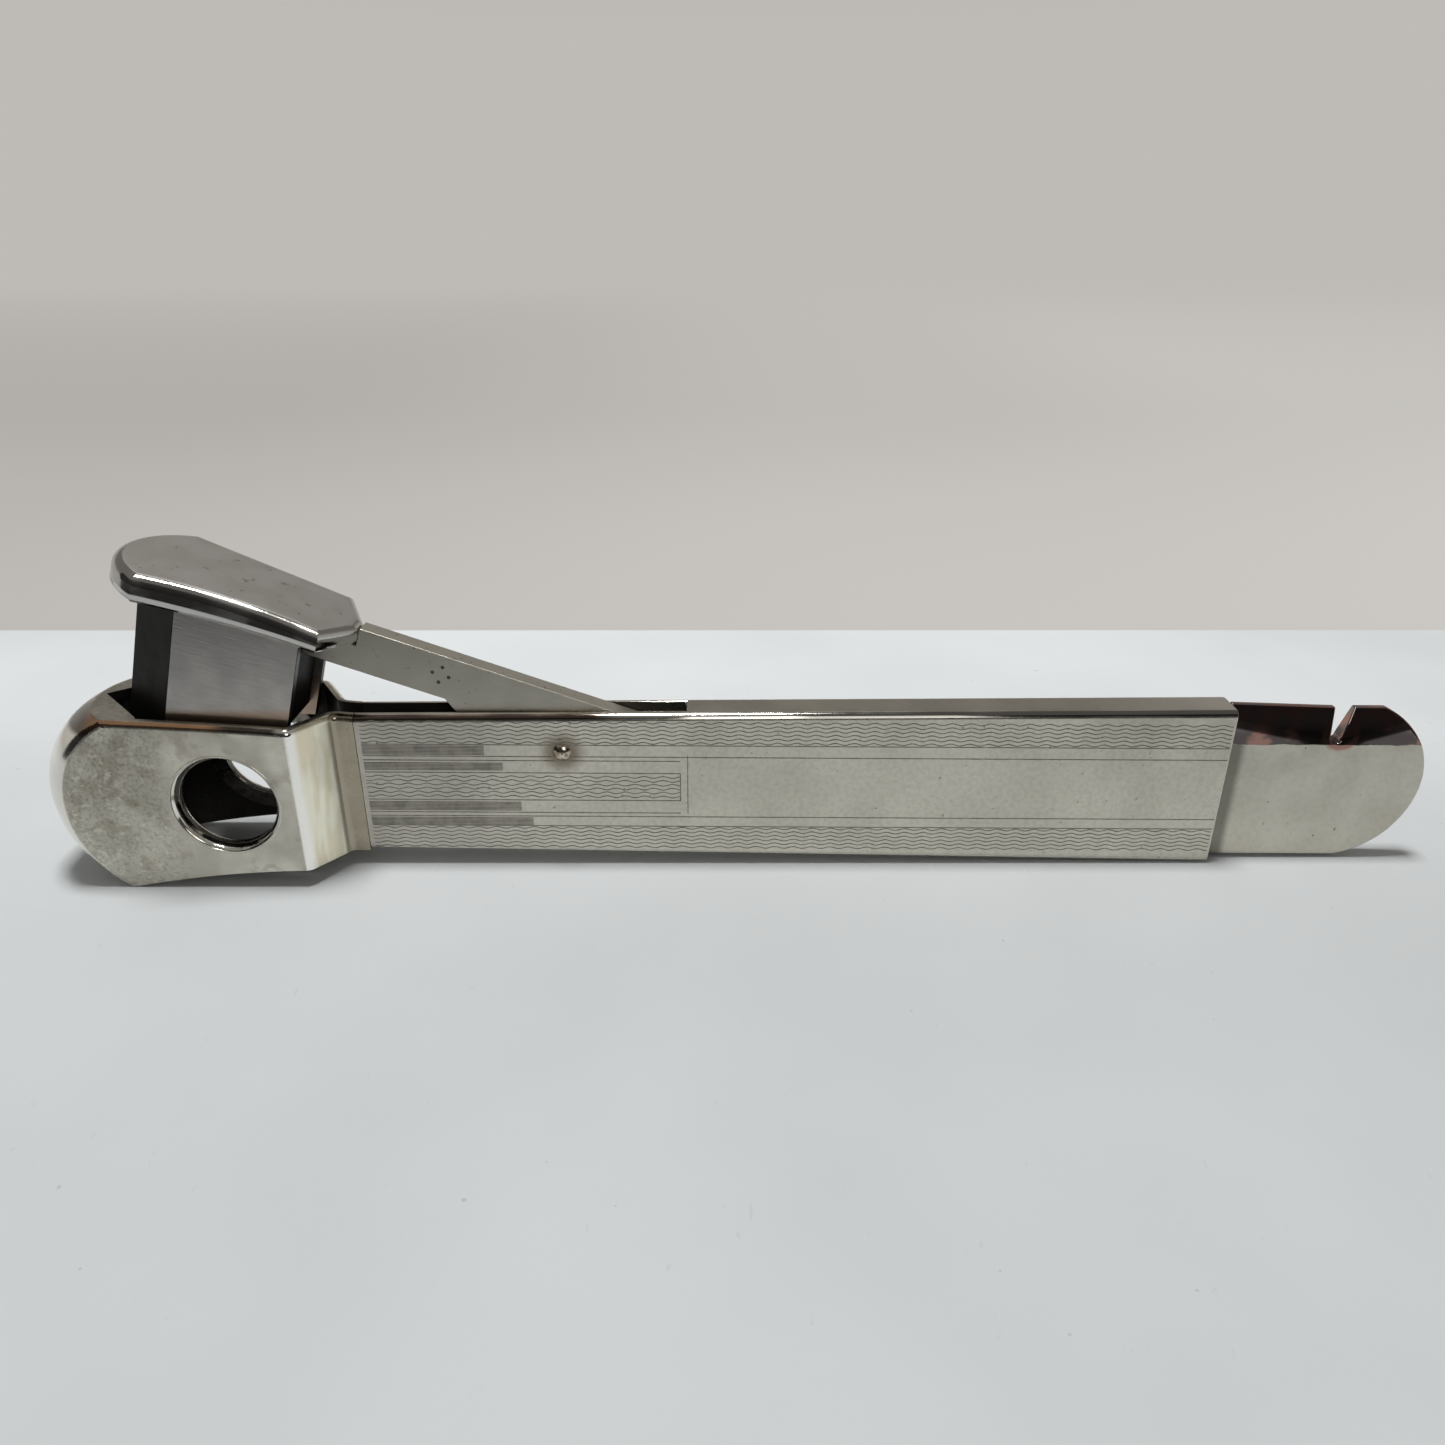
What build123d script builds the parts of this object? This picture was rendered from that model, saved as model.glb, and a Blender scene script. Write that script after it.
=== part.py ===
"""Lever cigar cutter with a box opener at the end of its handle.

Millimetres, +Z up, +X from the cutter head towards the box opener, -Y the engraved
show side. The tool stands on edge, on the head's lower corners and on the lower corner
of the sleeve, which puts its centre line a little off level. The lever is modelled
sprung up, as it rests.
"""
from build123d import *
from math import asin, atan2, cos, radians, sin, sqrt, tan
import os

os.makedirs("parts", exist_ok=True)

# Stance: the handle's origin lies on its centre line, straight under the pivot.
STANCE = 0.37
ORIGIN_X = -19.453
ORIGIN_Z = 9.838

# Handle sleeve, folded from sheet and tapered towards the head.
SEAM_X = -22.1
SLEEVE_END_X = 72.0
SLEEVE_HALF = 2.285
SLEEVE_HALF_HEIGHT = 8.19
SLEEVE_FLARE = 0.0122
WALL = 1.0
CORE_HALF = SLEEVE_HALF - WALL
EDGE_ROUND = 0.8
SLOT_END_X = 13.4

# Cutter head, an open-bottomed shell that swells out of the sleeve.
HEAD_HALF = 7.09
RAMP_TOP_X = -27.2
RAMP_FOOT_X = -24.0
RAMP_ROUND = 1.2
FOOT_ROUND = 0.8
HEAD_BACK_X = -44.0
HEAD_TOP = ((-60.0, 9.95), (-38.0, 9.3), (SEAM_X, 8.22))
HEAD_BOTTOM = ((-46.8, -10.14), (-36.6, -8.52), (-27.5, -7.95))
HEAD_ROUND = 0.7
CREASE_ROUND = 0.8
NOSE_SIDE_R = 11.5
NOSE_SIDE_Z = -0.6
NOSE_PLAN_R = 8.1
NOSE_AXIS_X = -47.884
NOSE_FRONT_X = NOSE_AXIS_X - NOSE_PLAN_R
NOSE_STATIONS = (-HEAD_HALF, -5.3, -2.8, 0.0, 2.8, 5.3, HEAD_HALF)
NOSE_LOW = -10.6
NOSE_HIGH = 9.85
OPENING_APEX_X = -48.8
TALL = 20.0

# Cigar bore across the head, with a hardened ring behind each wall.
BORE_X = -35.0
BORE_Z = 0.0
BORE_R = 5.08
BORE_LIP_R = 5.62
BORE_SEAT_R = 5.15
RING_OUTER_R = 7.0
RING_THICK = 0.6

# Notch bore through the nose, with a guide collar behind it.
NOTCH_R = 3.2
NOTCH_LIP_R = 3.6
COLLAR_OUTER_R = 4.0
COLLAR_END_X = -47.6

# Pivot, and the lever's rise above its pressed-down place.
PIVOT_Z = 4.12
RISE = 19.5
RIVET_R = 0.9
RIVET_HEAD_R = 1.02
RIVET_DOME = 0.5
WASHER_R = 2.6
WASHER_INNER_Y = 1.13
WASHER_THICK = CORE_HALF - WASHER_INNER_Y

# Lever arm, in the place it takes when pressed down.
ARM_HALF = 1.1
ARM_TOP_Z = 10.05
ARM_HOLE_R = 0.95
ARM_UNDERSIDE = (
    (-34.0, 5.35),
    (-13.5, 5.35),
    (-12.5, 4.6),
    (-6.5, 0.9),
    (-3.2, 0.35),
    (3.2, 0.35),
)
TAIL_R = 13.75
TAIL_LOW_Z = 2.6

# Thumb pad on the arm's front end.
PAD_END_X = -23.7
PAD_BOTTOM_Z = 8.1
PAD_CROWN = ((-52.0, 10.5), (-38.0, 11.0), (PAD_END_X, ARM_TOP_Z))
PAD_NOSE_X = -48.4
PAD_FRONT = (-43.9, 7.6)
PAD_WAIST = (-34.5, 6.15)
PAD_REAR = (-26.35, 6.1)
PAD_TOP_ROUND = 1.1
PAD_LOW_CHAMFER = 0.35

# Blade block hung under the pad: two flat blades, a V-nosed notch blade, a core.
BLOCK_X = -40.0
BLOCK_Z = 10.0
BLOCK_LEAN = 15.5
BLADE_HALF = 5.4
BLADE_THICK = 1.0
BLADE_LENGTH = 12.3
BLADE_LOW_Z = 5.4
NOSE_BLADE_REACH = 5.9
NOSE_BLADE_THICK = 1.1
CORE_LENGTH = 11.4
CORE_LIFT = 1.6
BLOCK_TALL = 20.0
BLADE_RIVET_R = 0.6
BLADE_RIVET_SINK = 0.5
BLADE_RIVETS = ((3.2, 4.2), (8.8, 4.8))

# Return spring: a leaf clamped between a seat and the lever's stop.
SPRING_SPAN = (10.0, 25.0)
LEAF_HALF = 1.0
LEAF_THICK = 0.45
LEAF_TOP_Z = -3.6
LEAF_BEND_X = 8.0
LEAF_BEND_R = 20.45
LEAF_TIP_X = -8.3
STOP_TOP_Z = -1.95
SPRING_RIVET_X = 17.5
SPRING_RIVET_R = 0.6
SPRING_RIVET_SINK = 2.2

# Box opener blade, with its tang packed in the sleeve.
BLADE_PLATE_HALF = 1.0
TANG_START_X = 28.0
TANG_GAP = 0.12
BLADE_TOP = (9.45, 9.1)
BLADE_BOTTOM_Z = -8.85
NAIL_NOTCH_LEFT_X = 83.2
NAIL_NOTCH_WIDTH = (1.2, 2.3)
NAIL_NOTCH_Z = 5.0
NAIL_NOTCH_TOP_Z = 10.0
TIP_START = (88.6, 9.12)
TIP_UPPER = (92.35, 6.3)
TIP_END = (94.4, 0.6)
TIP_LOWER = (92.5, -5.2)
TIP_HEEL_X = 86.6
BEVEL_Z = 4.9
BEVEL_EDGE_HALF = 0.3


def tilted(origin, angle):
    """A side plane at origin facing -Y, its left end raised by angle."""
    turn = radians(angle)
    return Plane(origin=origin, x_dir=(cos(turn), 0, -sin(turn)), z_dir=(0, -1, 0))


def side(frame, y=0.0):
    """The frame's side plane moved across the tool to y."""
    return frame.offset(-y)


def top(frame, z=0.0):
    """The frame's plan plane at height z, with local x along the frame, y across."""
    origin = frame.from_local_coords((0, z, 0))
    return Plane(origin=origin, x_dir=frame.x_dir, z_dir=frame.y_dir)


def across(frame, x=0.0):
    """The frame's cross plane at x, with local x across the tool and y up."""
    origin = frame.from_local_coords((x, 0, 0))
    return Plane(origin=origin, x_dir=(0, 1, 0), z_dir=frame.x_dir)


HANDLE = tilted((ORIGIN_X, 0, ORIGIN_Z), STANCE)
PIVOT = HANDLE.from_local_coords((0, PIVOT_Z, 0))
LEVER_TURN = radians(STANCE + RISE)
LEVER_DROP = Vector(sin(LEVER_TURN), 0, cos(LEVER_TURN)) * PIVOT_Z
LEVER = tilted(PIVOT - LEVER_DROP, STANCE + RISE)
BLOCK = tilted(HANDLE.from_local_coords((BLOCK_X, BLOCK_Z, 0)), STANCE + BLOCK_LEAN)


def half_height(x):
    """Half the sleeve's height at x."""
    return SLEEVE_HALF_HEIGHT + SLEEVE_FLARE * (x + 25.0)


def sleeve_outline(left, right, inset):
    """Side view of the sleeve between two stations, drawn in by inset."""
    low_left = -half_height(left) + inset
    low_right = -half_height(right) + inset
    return ((left, low_left), (right, low_right), (right, -low_right), (left, -low_left))


def mirrored(half):
    """An outline's upper half and the same points below the centre line."""
    return tuple(half) + tuple((x, -y) for x, y in reversed(half))


def head_plan(inset, base=-TALL):
    """Plan of the head behind its nose at height base, drawn in by inset."""
    overrun = inset + 1.0 if inset else 0.0
    half = (
        (HEAD_BACK_X, HEAD_HALF),
        (RAMP_TOP_X, HEAD_HALF),
        (RAMP_FOOT_X, SLEEVE_HALF),
        (SEAM_X + overrun, SLEEVE_HALF),
    )
    with BuildSketch(top(HANDLE, base)) as plan:
        Polygon(*mirrored(half), align=None)
        fillet(plan.vertices().filter_by(lambda v: abs(v.X - RAMP_TOP_X) < 0.01), RAMP_ROUND)
        fillet(plan.vertices().filter_by(lambda v: abs(v.X - RAMP_FOOT_X) < 0.01), FOOT_ROUND)
        if inset:
            offset(amount=-inset, kind=Kind.INTERSECTION)
    return plan.sketch


def nose_section(y, inset):
    """Side view of the nose at y: an arc carried round the nose's plan curve."""
    reach = sqrt((NOSE_PLAN_R - inset) ** 2 - y**2)
    radius = NOSE_SIDE_R - inset
    front = NOSE_AXIS_X - reach
    centre = front + radius
    low = (centre - sqrt(radius**2 - (NOSE_LOW - NOSE_SIDE_Z) ** 2), NOSE_LOW)
    roof = NOSE_HIGH - inset
    high = (centre - sqrt(radius**2 - (roof - NOSE_SIDE_Z) ** 2), roof)
    back = HEAD_BACK_X + inset
    with BuildSketch(side(HANDLE, y)) as section:
        with BuildLine():
            ThreePointArc(low, (front, NOSE_SIDE_Z), high)
            Polyline(high, (back, roof), (back, NOSE_LOW), low)
        make_face()
    return section.sketch


def nose_sections(inset):
    """The nose's side views from one flank to the other."""
    spread = (HEAD_HALF - inset) / HEAD_HALF
    return [nose_section(station * spread, inset) for station in NOSE_STATIONS]


def head_outline():
    """Side view of the head: gently crowned top, hollowed sole."""
    neck = (SEAM_X, -half_height(SEAM_X))
    foot = (RAMP_FOOT_X, -half_height(RAMP_FOOT_X))
    front = HEAD_TOP[0][0]
    with BuildSketch(side(HANDLE)) as outline:
        with BuildLine():
            ThreePointArc(*HEAD_TOP)
            Polyline(HEAD_TOP[2], neck, foot, HEAD_BOTTOM[2])
            ThreePointArc(*reversed(HEAD_BOTTOM))
            Polyline(HEAD_BOTTOM[0], (front, HEAD_BOTTOM[0][1]), HEAD_TOP[0])
        make_face()
    return outline.sketch


def cavity_outline():
    """Side view of the head's hollow: open below, with a floor in the neck."""
    start, middle, end = [(x, z - WALL) for x, z in HEAD_TOP]
    end = (end[0] + 1.0, end[1])
    floor = -half_height(SEAM_X) + WALL
    lip = (RAMP_TOP_X, floor)
    with BuildSketch(side(HANDLE)) as outline:
        with BuildLine():
            ThreePointArc(start, middle, end)
            Polyline(end, (end[0], floor), lip, (lip[0], -TALL), (start[0], -TALL), start)
        make_face()
    return outline.sketch


def opening_plan():
    """Plan of the head's top opening where it narrows in a V towards the nose."""
    inner = HEAD_HALF - WALL
    shoulder = OPENING_APEX_X + inner
    half = ((OPENING_APEX_X, 0.0), (shoulder, inner), (shoulder + 1.0, inner))
    with BuildSketch(top(HANDLE)) as plan:
        Polygon(*mirrored(half), align=None)
    return plan.sketch


def disc(plane, place, radius):
    """A round face of the plane, centred at place."""
    with BuildSketch(plane) as sketch:
        with Locations(place):
            Circle(radius)
    return sketch.sketch


def bore_disc(y, radius):
    """A round face on the cigar bore's axis, at y."""
    return disc(side(HANDLE, y), (BORE_X, BORE_Z), radius)


def notch_disc(x, radius):
    """A round face on the notch bore's axis, at x."""
    return disc(across(HANDLE, x), (0, NOSE_SIDE_Z), radius)


def pivot_disc(frame, y, radius):
    """A round face on the pivot's axis, at y."""
    return disc(side(frame, y), (0, PIVOT_Z), radius)


def spring_rivet_disc(z):
    """The spring rivet's round face at height z."""
    return disc(top(HANDLE, z), (SPRING_RIVET_X, 0), SPRING_RIVET_R)


def floor_line(x):
    """Height of the sleeve's inner floor at x."""
    return WALL - half_height(x)


# ------------------------------------------------------------------ head
with BuildPart() as head_cavity:
    extrude(head_plan(WALL), amount=2 * TALL)
    loft(nose_sections(WALL))
    extrude(cavity_outline(), amount=HEAD_HALF, both=True, mode=Mode.INTERSECT)

with BuildPart() as head_shell:
    extrude(head_plan(0.0), amount=2 * TALL)
    loft(nose_sections(0.0))
    extrude(head_outline(), amount=HEAD_HALF + 1.0, both=True, mode=Mode.INTERSECT)
    creases = head_shell.edges().filter_by(lambda edge: edge.length > 20.0)
    fillet(creases, CREASE_ROUND)
    rims = head_shell.edges().filter_by(lambda e: HANDLE.to_local_coords(e.center()).Y > 7.9)
    rims = rims.filter_by(lambda edge: edge.center().X < HANDLE.from_local_coords((SEAM_X, 0, 0)).X - 0.2)
    fillet(rims, HEAD_ROUND)
    add(head_cavity.part, mode=Mode.SUBTRACT)
    extrude(opening_plan(), amount=TALL, mode=Mode.SUBTRACT)
    extrude(head_plan(WALL, 0.0), amount=TALL, mode=Mode.SUBTRACT)
    for flank in (-1, 1):
        lip = bore_disc(flank * HEAD_HALF, BORE_LIP_R)
        seat = bore_disc(flank * (HEAD_HALF - WALL), BORE_SEAT_R)
        loft([lip, seat], mode=Mode.SUBTRACT)
    dish = [notch_disc(NOSE_FRONT_X, NOTCH_LIP_R), notch_disc(NOSE_FRONT_X + WALL, NOTCH_R)]
    loft(dish, mode=Mode.SUBTRACT)
    extrude(notch_disc(NOSE_FRONT_X, NOTCH_R), amount=2 * WALL, mode=Mode.SUBTRACT)
head_shell.part.label = "head_shell"
export_step(head_shell.part, "parts/head_shell.step")

for ring_name, flank in (("near_cutting_ring", -1), ("far_cutting_ring", 1)):
    with BuildPart() as cutting_ring:
        extrude(bore_disc(flank * (HEAD_HALF - WALL), RING_OUTER_R), amount=flank * RING_THICK)
        extrude(bore_disc(0.0, BORE_R), amount=HEAD_HALF, both=True, mode=Mode.SUBTRACT)
    cutting_ring.part.label = ring_name
    export_step(cutting_ring.part, f"parts/{ring_name}.step")

with BuildPart() as nose_collar:
    extrude(notch_disc(COLLAR_END_X, COLLAR_OUTER_R), amount=-HEAD_HALF)
    extrude(notch_disc(COLLAR_END_X, NOTCH_R), amount=-2 * HEAD_HALF, mode=Mode.SUBTRACT)
    add(head_cavity.part, mode=Mode.INTERSECT)
nose_collar.part.label = "nose_collar"
export_step(nose_collar.part, "parts/nose_collar.step")

# ---------------------------------------------------------------- handle
with BuildPart() as handle_sleeve:
    with BuildSketch(side(HANDLE)):
        Polygon(*sleeve_outline(SEAM_X, SLEEVE_END_X, 0.0), align=None)
    extrude(amount=SLEEVE_HALF, both=True)
    fillet(handle_sleeve.edges().filter_by(lambda edge: edge.length > 50.0), EDGE_ROUND)
    with BuildSketch(side(HANDLE)):
        Polygon(*sleeve_outline(SEAM_X - 1.0, SLEEVE_END_X + 1.0, WALL), align=None)
    extrude(amount=CORE_HALF, both=True, mode=Mode.SUBTRACT)
    with BuildSketch(top(HANDLE)):
        with Locations((SLOT_END_X, 0)):
            Rectangle(TALL * 2, CORE_HALF * 2, align=(Align.MAX, Align.CENTER))
    extrude(amount=TALL, mode=Mode.SUBTRACT)
    extrude(pivot_disc(HANDLE, 0.0, RIVET_R), amount=SLEEVE_HALF, both=True, mode=Mode.SUBTRACT)
handle_sleeve.part.label = "handle_sleeve"
export_step(handle_sleeve.part, "parts/handle_sleeve.step")

with BuildPart() as opener_blade:
    tang_start = half_height(TANG_START_X) - WALL - TANG_GAP
    tang_end = half_height(SLEEVE_END_X) - WALL - TANG_GAP
    with BuildSketch(side(HANDLE)):
        with BuildLine():
            shoulder = (SLEEVE_END_X, BLADE_TOP[0])
            notch_left = (NAIL_NOTCH_LEFT_X, BLADE_TOP[1])
            Polyline(
                (SLEEVE_END_X, BLADE_BOTTOM_Z),
                (SLEEVE_END_X, -tang_end),
                (TANG_START_X, -tang_start),
                (TANG_START_X, tang_start),
                (SLEEVE_END_X, tang_end),
                shoulder,
                notch_left,
                TIP_START,
            )
            ThreePointArc(TIP_START, TIP_UPPER, TIP_END)
            heel = (TIP_HEEL_X, BLADE_BOTTOM_Z)
            ThreePointArc(TIP_END, TIP_LOWER, heel)
            Line(heel, (SLEEVE_END_X, BLADE_BOTTOM_Z))
        make_face()
    extrude(amount=BLADE_PLATE_HALF, both=True)
    for flank in (-1, 1):
        bevel = (
            (flank * BLADE_PLATE_HALF, BEVEL_Z),
            (flank * BEVEL_EDGE_HALF, BLADE_TOP[0]),
            (flank * BLADE_PLATE_HALF * 2, BLADE_TOP[0] + 1.0),
            (flank * BLADE_PLATE_HALF * 2, BEVEL_Z),
        )
        with BuildSketch(across(HANDLE, SLEEVE_END_X)):
            Polygon(*bevel, align=None)
        extrude(amount=2 * TALL, mode=Mode.SUBTRACT)
    with BuildSketch(side(HANDLE)):
        root_r = NAIL_NOTCH_WIDTH[0] / 2
        root_z = NAIL_NOTCH_Z + root_r
        with Locations((NAIL_NOTCH_LEFT_X + root_r, root_z)):
            Circle(root_r)
        Polygon(
            (NAIL_NOTCH_LEFT_X, root_z),
            (NAIL_NOTCH_LEFT_X + NAIL_NOTCH_WIDTH[0], root_z),
            (NAIL_NOTCH_LEFT_X + NAIL_NOTCH_WIDTH[1], NAIL_NOTCH_TOP_Z),
            (NAIL_NOTCH_LEFT_X, NAIL_NOTCH_TOP_Z),
            align=None,
        )
    extrude(amount=SLEEVE_HALF, both=True, mode=Mode.SUBTRACT)
opener_blade.part.label = "opener_blade"
export_step(opener_blade.part, "parts/opener_blade.step")

for shim_name, flank in (("near_tang_shim", -1), ("far_tang_shim", 1)):
    with BuildPart() as tang_shim:
        with BuildSketch(side(HANDLE, flank * BLADE_PLATE_HALF)):
            Polygon(*sleeve_outline(TANG_START_X, SLEEVE_END_X, 2 * WALL), align=None)
        extrude(amount=-flank * (CORE_HALF - BLADE_PLATE_HALF))
    tang_shim.part.label = shim_name
    export_step(tang_shim.part, f"parts/{shim_name}.step")

# ----------------------------------------------------------------- pivot
dome_r = (RIVET_HEAD_R**2 + RIVET_DOME**2) / (2 * RIVET_DOME)
dome_turn = atan2(RIVET_HEAD_R, dome_r - RIVET_DOME) / 2
dome_middle = (SLEEVE_HALF + RIVET_DOME - dome_r * (1 - cos(dome_turn)), PIVOT_Z + dome_r * sin(dome_turn))
dome_top = (SLEEVE_HALF + RIVET_DOME, PIVOT_Z)
dome_foot = (SLEEVE_HALF, PIVOT_Z + RIVET_HEAD_R)
with BuildPart() as pivot_rivet:
    with BuildSketch(across(HANDLE)) as rivet_half:
        with BuildLine():
            ThreePointArc(dome_top, dome_middle, dome_foot)
            neck = (SLEEVE_HALF, PIVOT_Z + RIVET_R)
            Polyline(dome_foot, neck, (0, PIVOT_Z + RIVET_R), (0, PIVOT_Z), dome_top)
        make_face()
    revolve(axis=Axis(PIVOT, (0, 1, 0)))
    mirror(about=Plane.XZ)
pivot_rivet.part.label = "pivot_rivet"
export_step(pivot_rivet.part, "parts/pivot_rivet.step")

for washer_name, flank in (("near_pivot_washer", -1), ("far_pivot_washer", 1)):
    with BuildPart() as pivot_washer:
        extrude(pivot_disc(HANDLE, flank * WASHER_INNER_Y, WASHER_R), amount=-flank * WASHER_THICK)
        extrude(pivot_disc(HANDLE, 0.0, RIVET_R), amount=SLEEVE_HALF, both=True, mode=Mode.SUBTRACT)
    pivot_washer.part.label = washer_name
    export_step(pivot_washer.part, f"parts/{washer_name}.step")

# ---------------------------------------------------------------- spring
spring_left, spring_right = SPRING_SPAN
leaf_low_z = LEAF_TOP_Z - LEAF_THICK
with BuildPart() as spring_seat:
    with BuildSketch(side(HANDLE)):
        seat_low = ((spring_left, floor_line(spring_left)), (spring_right, floor_line(spring_right)))
        Polygon(*seat_low, (spring_right, leaf_low_z), (spring_left, leaf_low_z), align=None)
    extrude(amount=CORE_HALF, both=True)
    extrude(spring_rivet_disc(leaf_low_z - SPRING_RIVET_SINK), amount=TALL, mode=Mode.SUBTRACT)
spring_seat.part.label = "spring_seat"
export_step(spring_seat.part, "parts/spring_seat.step")

with BuildPart() as leaf_spring:
    bend_centre_z = LEAF_TOP_Z + LEAF_BEND_R
    tip_turn = asin((LEAF_BEND_X - LEAF_TIP_X) / LEAF_BEND_R)
    upper = [
        (LEAF_BEND_X - LEAF_BEND_R * sin(turn), bend_centre_z - LEAF_BEND_R * cos(turn))
        for turn in (0.0, tip_turn / 2, tip_turn)
    ]
    lower_r = LEAF_BEND_R + LEAF_THICK
    lower = [
        (LEAF_BEND_X - lower_r * sin(turn), bend_centre_z - lower_r * cos(turn))
        for turn in (tip_turn, tip_turn / 2, 0.0)
    ]
    with BuildSketch(side(HANDLE)):
        with BuildLine():
            ThreePointArc(*upper)
            Line(upper[2], lower[0])
            ThreePointArc(*lower)
            Polyline(lower[2], (spring_right, leaf_low_z), (spring_right, LEAF_TOP_Z), upper[0])
        make_face()
    extrude(amount=LEAF_HALF, both=True)
    extrude(spring_rivet_disc(-TALL), amount=2 * TALL, mode=Mode.SUBTRACT)
leaf_spring.part.label = "leaf_spring"
export_step(leaf_spring.part, "parts/leaf_spring.step")

with BuildPart() as stop_block:
    with BuildSketch(side(HANDLE)):
        Polygon(
            (spring_left, LEAF_TOP_Z),
            (spring_right, LEAF_TOP_Z),
            (spring_right, STOP_TOP_Z),
            (spring_left, STOP_TOP_Z),
            align=None,
        )
    extrude(amount=CORE_HALF, both=True)
    extrude(spring_rivet_disc(-TALL), amount=2 * TALL, mode=Mode.SUBTRACT)
stop_block.part.label = "stop_block"
export_step(stop_block.part, "parts/stop_block.step")

with BuildPart() as spring_rivet:
    rivet_low_z = leaf_low_z - SPRING_RIVET_SINK
    extrude(spring_rivet_disc(rivet_low_z), amount=STOP_TOP_Z - rivet_low_z)
spring_rivet.part.label = "spring_rivet"
export_step(spring_rivet.part, "parts/spring_rivet.step")


# ----------------------------------------------------------------- lever
def blade_low(u):
    """Height, in the block's frame, of the blades' level lower edge at u."""
    lean = radians(BLOCK_LEAN)
    return (BLADE_LOW_Z - BLOCK_Z + u * sin(lean)) / cos(lean)


def rivet_discs(y):
    """The two blade rivets' round faces at y."""
    with BuildSketch(side(BLOCK, y)) as discs:
        with Locations(*BLADE_RIVETS):
            Circle(BLADE_RIVET_R)
    return discs.sketch


pad_floor = top(LEVER, PAD_BOTTOM_Z)
rivet_half_length = BLADE_HALF - BLADE_THICK + BLADE_RIVET_SINK
tail_low = (sqrt(TAIL_R**2 - (TAIL_LOW_Z - PIVOT_Z) ** 2), TAIL_LOW_Z)
tail_top = (sqrt(TAIL_R**2 - (ARM_TOP_Z - PIVOT_Z) ** 2), ARM_TOP_Z)

with BuildPart() as lever_arm:
    with BuildSketch(side(LEVER)):
        with BuildLine():
            Polyline(*ARM_UNDERSIDE, tail_low)
            ThreePointArc(tail_low, (TAIL_R, PIVOT_Z), tail_top)
            front = ARM_UNDERSIDE[0][0]
            Polyline(tail_top, (PAD_END_X, ARM_TOP_Z), (PAD_END_X, PAD_BOTTOM_Z), (front, PAD_BOTTOM_Z))
            Line((front, PAD_BOTTOM_Z), ARM_UNDERSIDE[0])
        make_face()
    extrude(amount=ARM_HALF, both=True)
    extrude(pivot_disc(LEVER, 0.0, ARM_HOLE_R), amount=ARM_HALF, both=True, mode=Mode.SUBTRACT)
    split(bisect_by=across(BLOCK, CORE_LENGTH), keep=Keep.TOP)
lever_arm.part.label = "lever_arm"
export_step(lever_arm.part, "parts/lever_arm.step")

with BuildPart() as thumb_pad:
    with BuildSketch(side(LEVER)):
        with BuildLine():
            ThreePointArc(*PAD_CROWN)
            low_left = (PAD_CROWN[0][0], PAD_BOTTOM_Z)
            Polyline(PAD_CROWN[2], (PAD_END_X, PAD_BOTTOM_Z), low_left, PAD_CROWN[0])
        make_face()
    extrude(amount=TALL, both=True)
    with BuildSketch(top(LEVER)):
        with BuildLine():
            ThreePointArc((PAD_FRONT[0], -PAD_FRONT[1]), (PAD_NOSE_X, 0), PAD_FRONT)
            ThreePointArc(PAD_FRONT, PAD_WAIST, PAD_REAR)
            Polyline(PAD_REAR, (PAD_END_X, ARM_HALF), (PAD_END_X, -ARM_HALF), (PAD_REAR[0], -PAD_REAR[1]))
            low_waist = (PAD_WAIST[0], -PAD_WAIST[1])
            ThreePointArc((PAD_REAR[0], -PAD_REAR[1]), low_waist, (PAD_FRONT[0], -PAD_FRONT[1]))
        make_face()
    extrude(amount=TALL, mode=Mode.INTERSECT)
    faces = thumb_pad.faces().sort_by(Axis(LEVER.origin, LEVER.y_dir))
    chamfer(faces[0].edges().filter_by(lambda edge: edge.length > 3.0), PAD_LOW_CHAMFER)
    faces = thumb_pad.faces().sort_by(Axis(LEVER.origin, LEVER.y_dir))
    fillet(faces[-1].edges(), PAD_TOP_ROUND)
thumb_pad.part.label = "thumb_pad"
export_step(thumb_pad.part, "parts/thumb_pad.step")

for blade_name, flank in (("near_blade", -1), ("far_blade", 1)):
    with BuildPart() as flat_blade:
        with BuildSketch(side(BLOCK, flank * BLADE_HALF)):
            Polygon(
                (0.0, blade_low(0.0)),
                (BLADE_LENGTH, blade_low(BLADE_LENGTH)),
                (BLADE_LENGTH, BLOCK_TALL),
                (0.0, BLOCK_TALL),
                align=None,
            )
        extrude(amount=flank * BLADE_THICK)
        split(bisect_by=pad_floor, keep=Keep.BOTTOM)
        extrude(rivet_discs(0.0), amount=rivet_half_length, both=True, mode=Mode.SUBTRACT)
    flat_blade.part.label = blade_name
    export_step(flat_blade.part, f"parts/{blade_name}.step")

leg_lean = atan2(BLADE_HALF, NOSE_BLADE_REACH)
inner_apex = -NOSE_BLADE_REACH + NOSE_BLADE_THICK / sin(leg_lean)
inner_half = BLADE_HALF - BLADE_THICK
inner_shoulder = inner_apex + inner_half / tan(leg_lean)
with BuildPart() as notch_blade:
    half = (
        (-NOSE_BLADE_REACH, 0.0),
        (0.0, BLADE_HALF),
        (0.0, inner_half),
        (inner_shoulder, inner_half),
    )
    with BuildSketch(top(BLOCK, blade_low(0.0))):
        Polygon(*half, (inner_apex, 0.0), *[(u, -y) for u, y in reversed(half[1:])], align=None)
    extrude(amount=BLOCK_TALL)
    split(bisect_by=pad_floor, keep=Keep.BOTTOM)
notch_blade.part.label = "notch_blade"
export_step(notch_blade.part, "parts/notch_blade.step")

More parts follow.
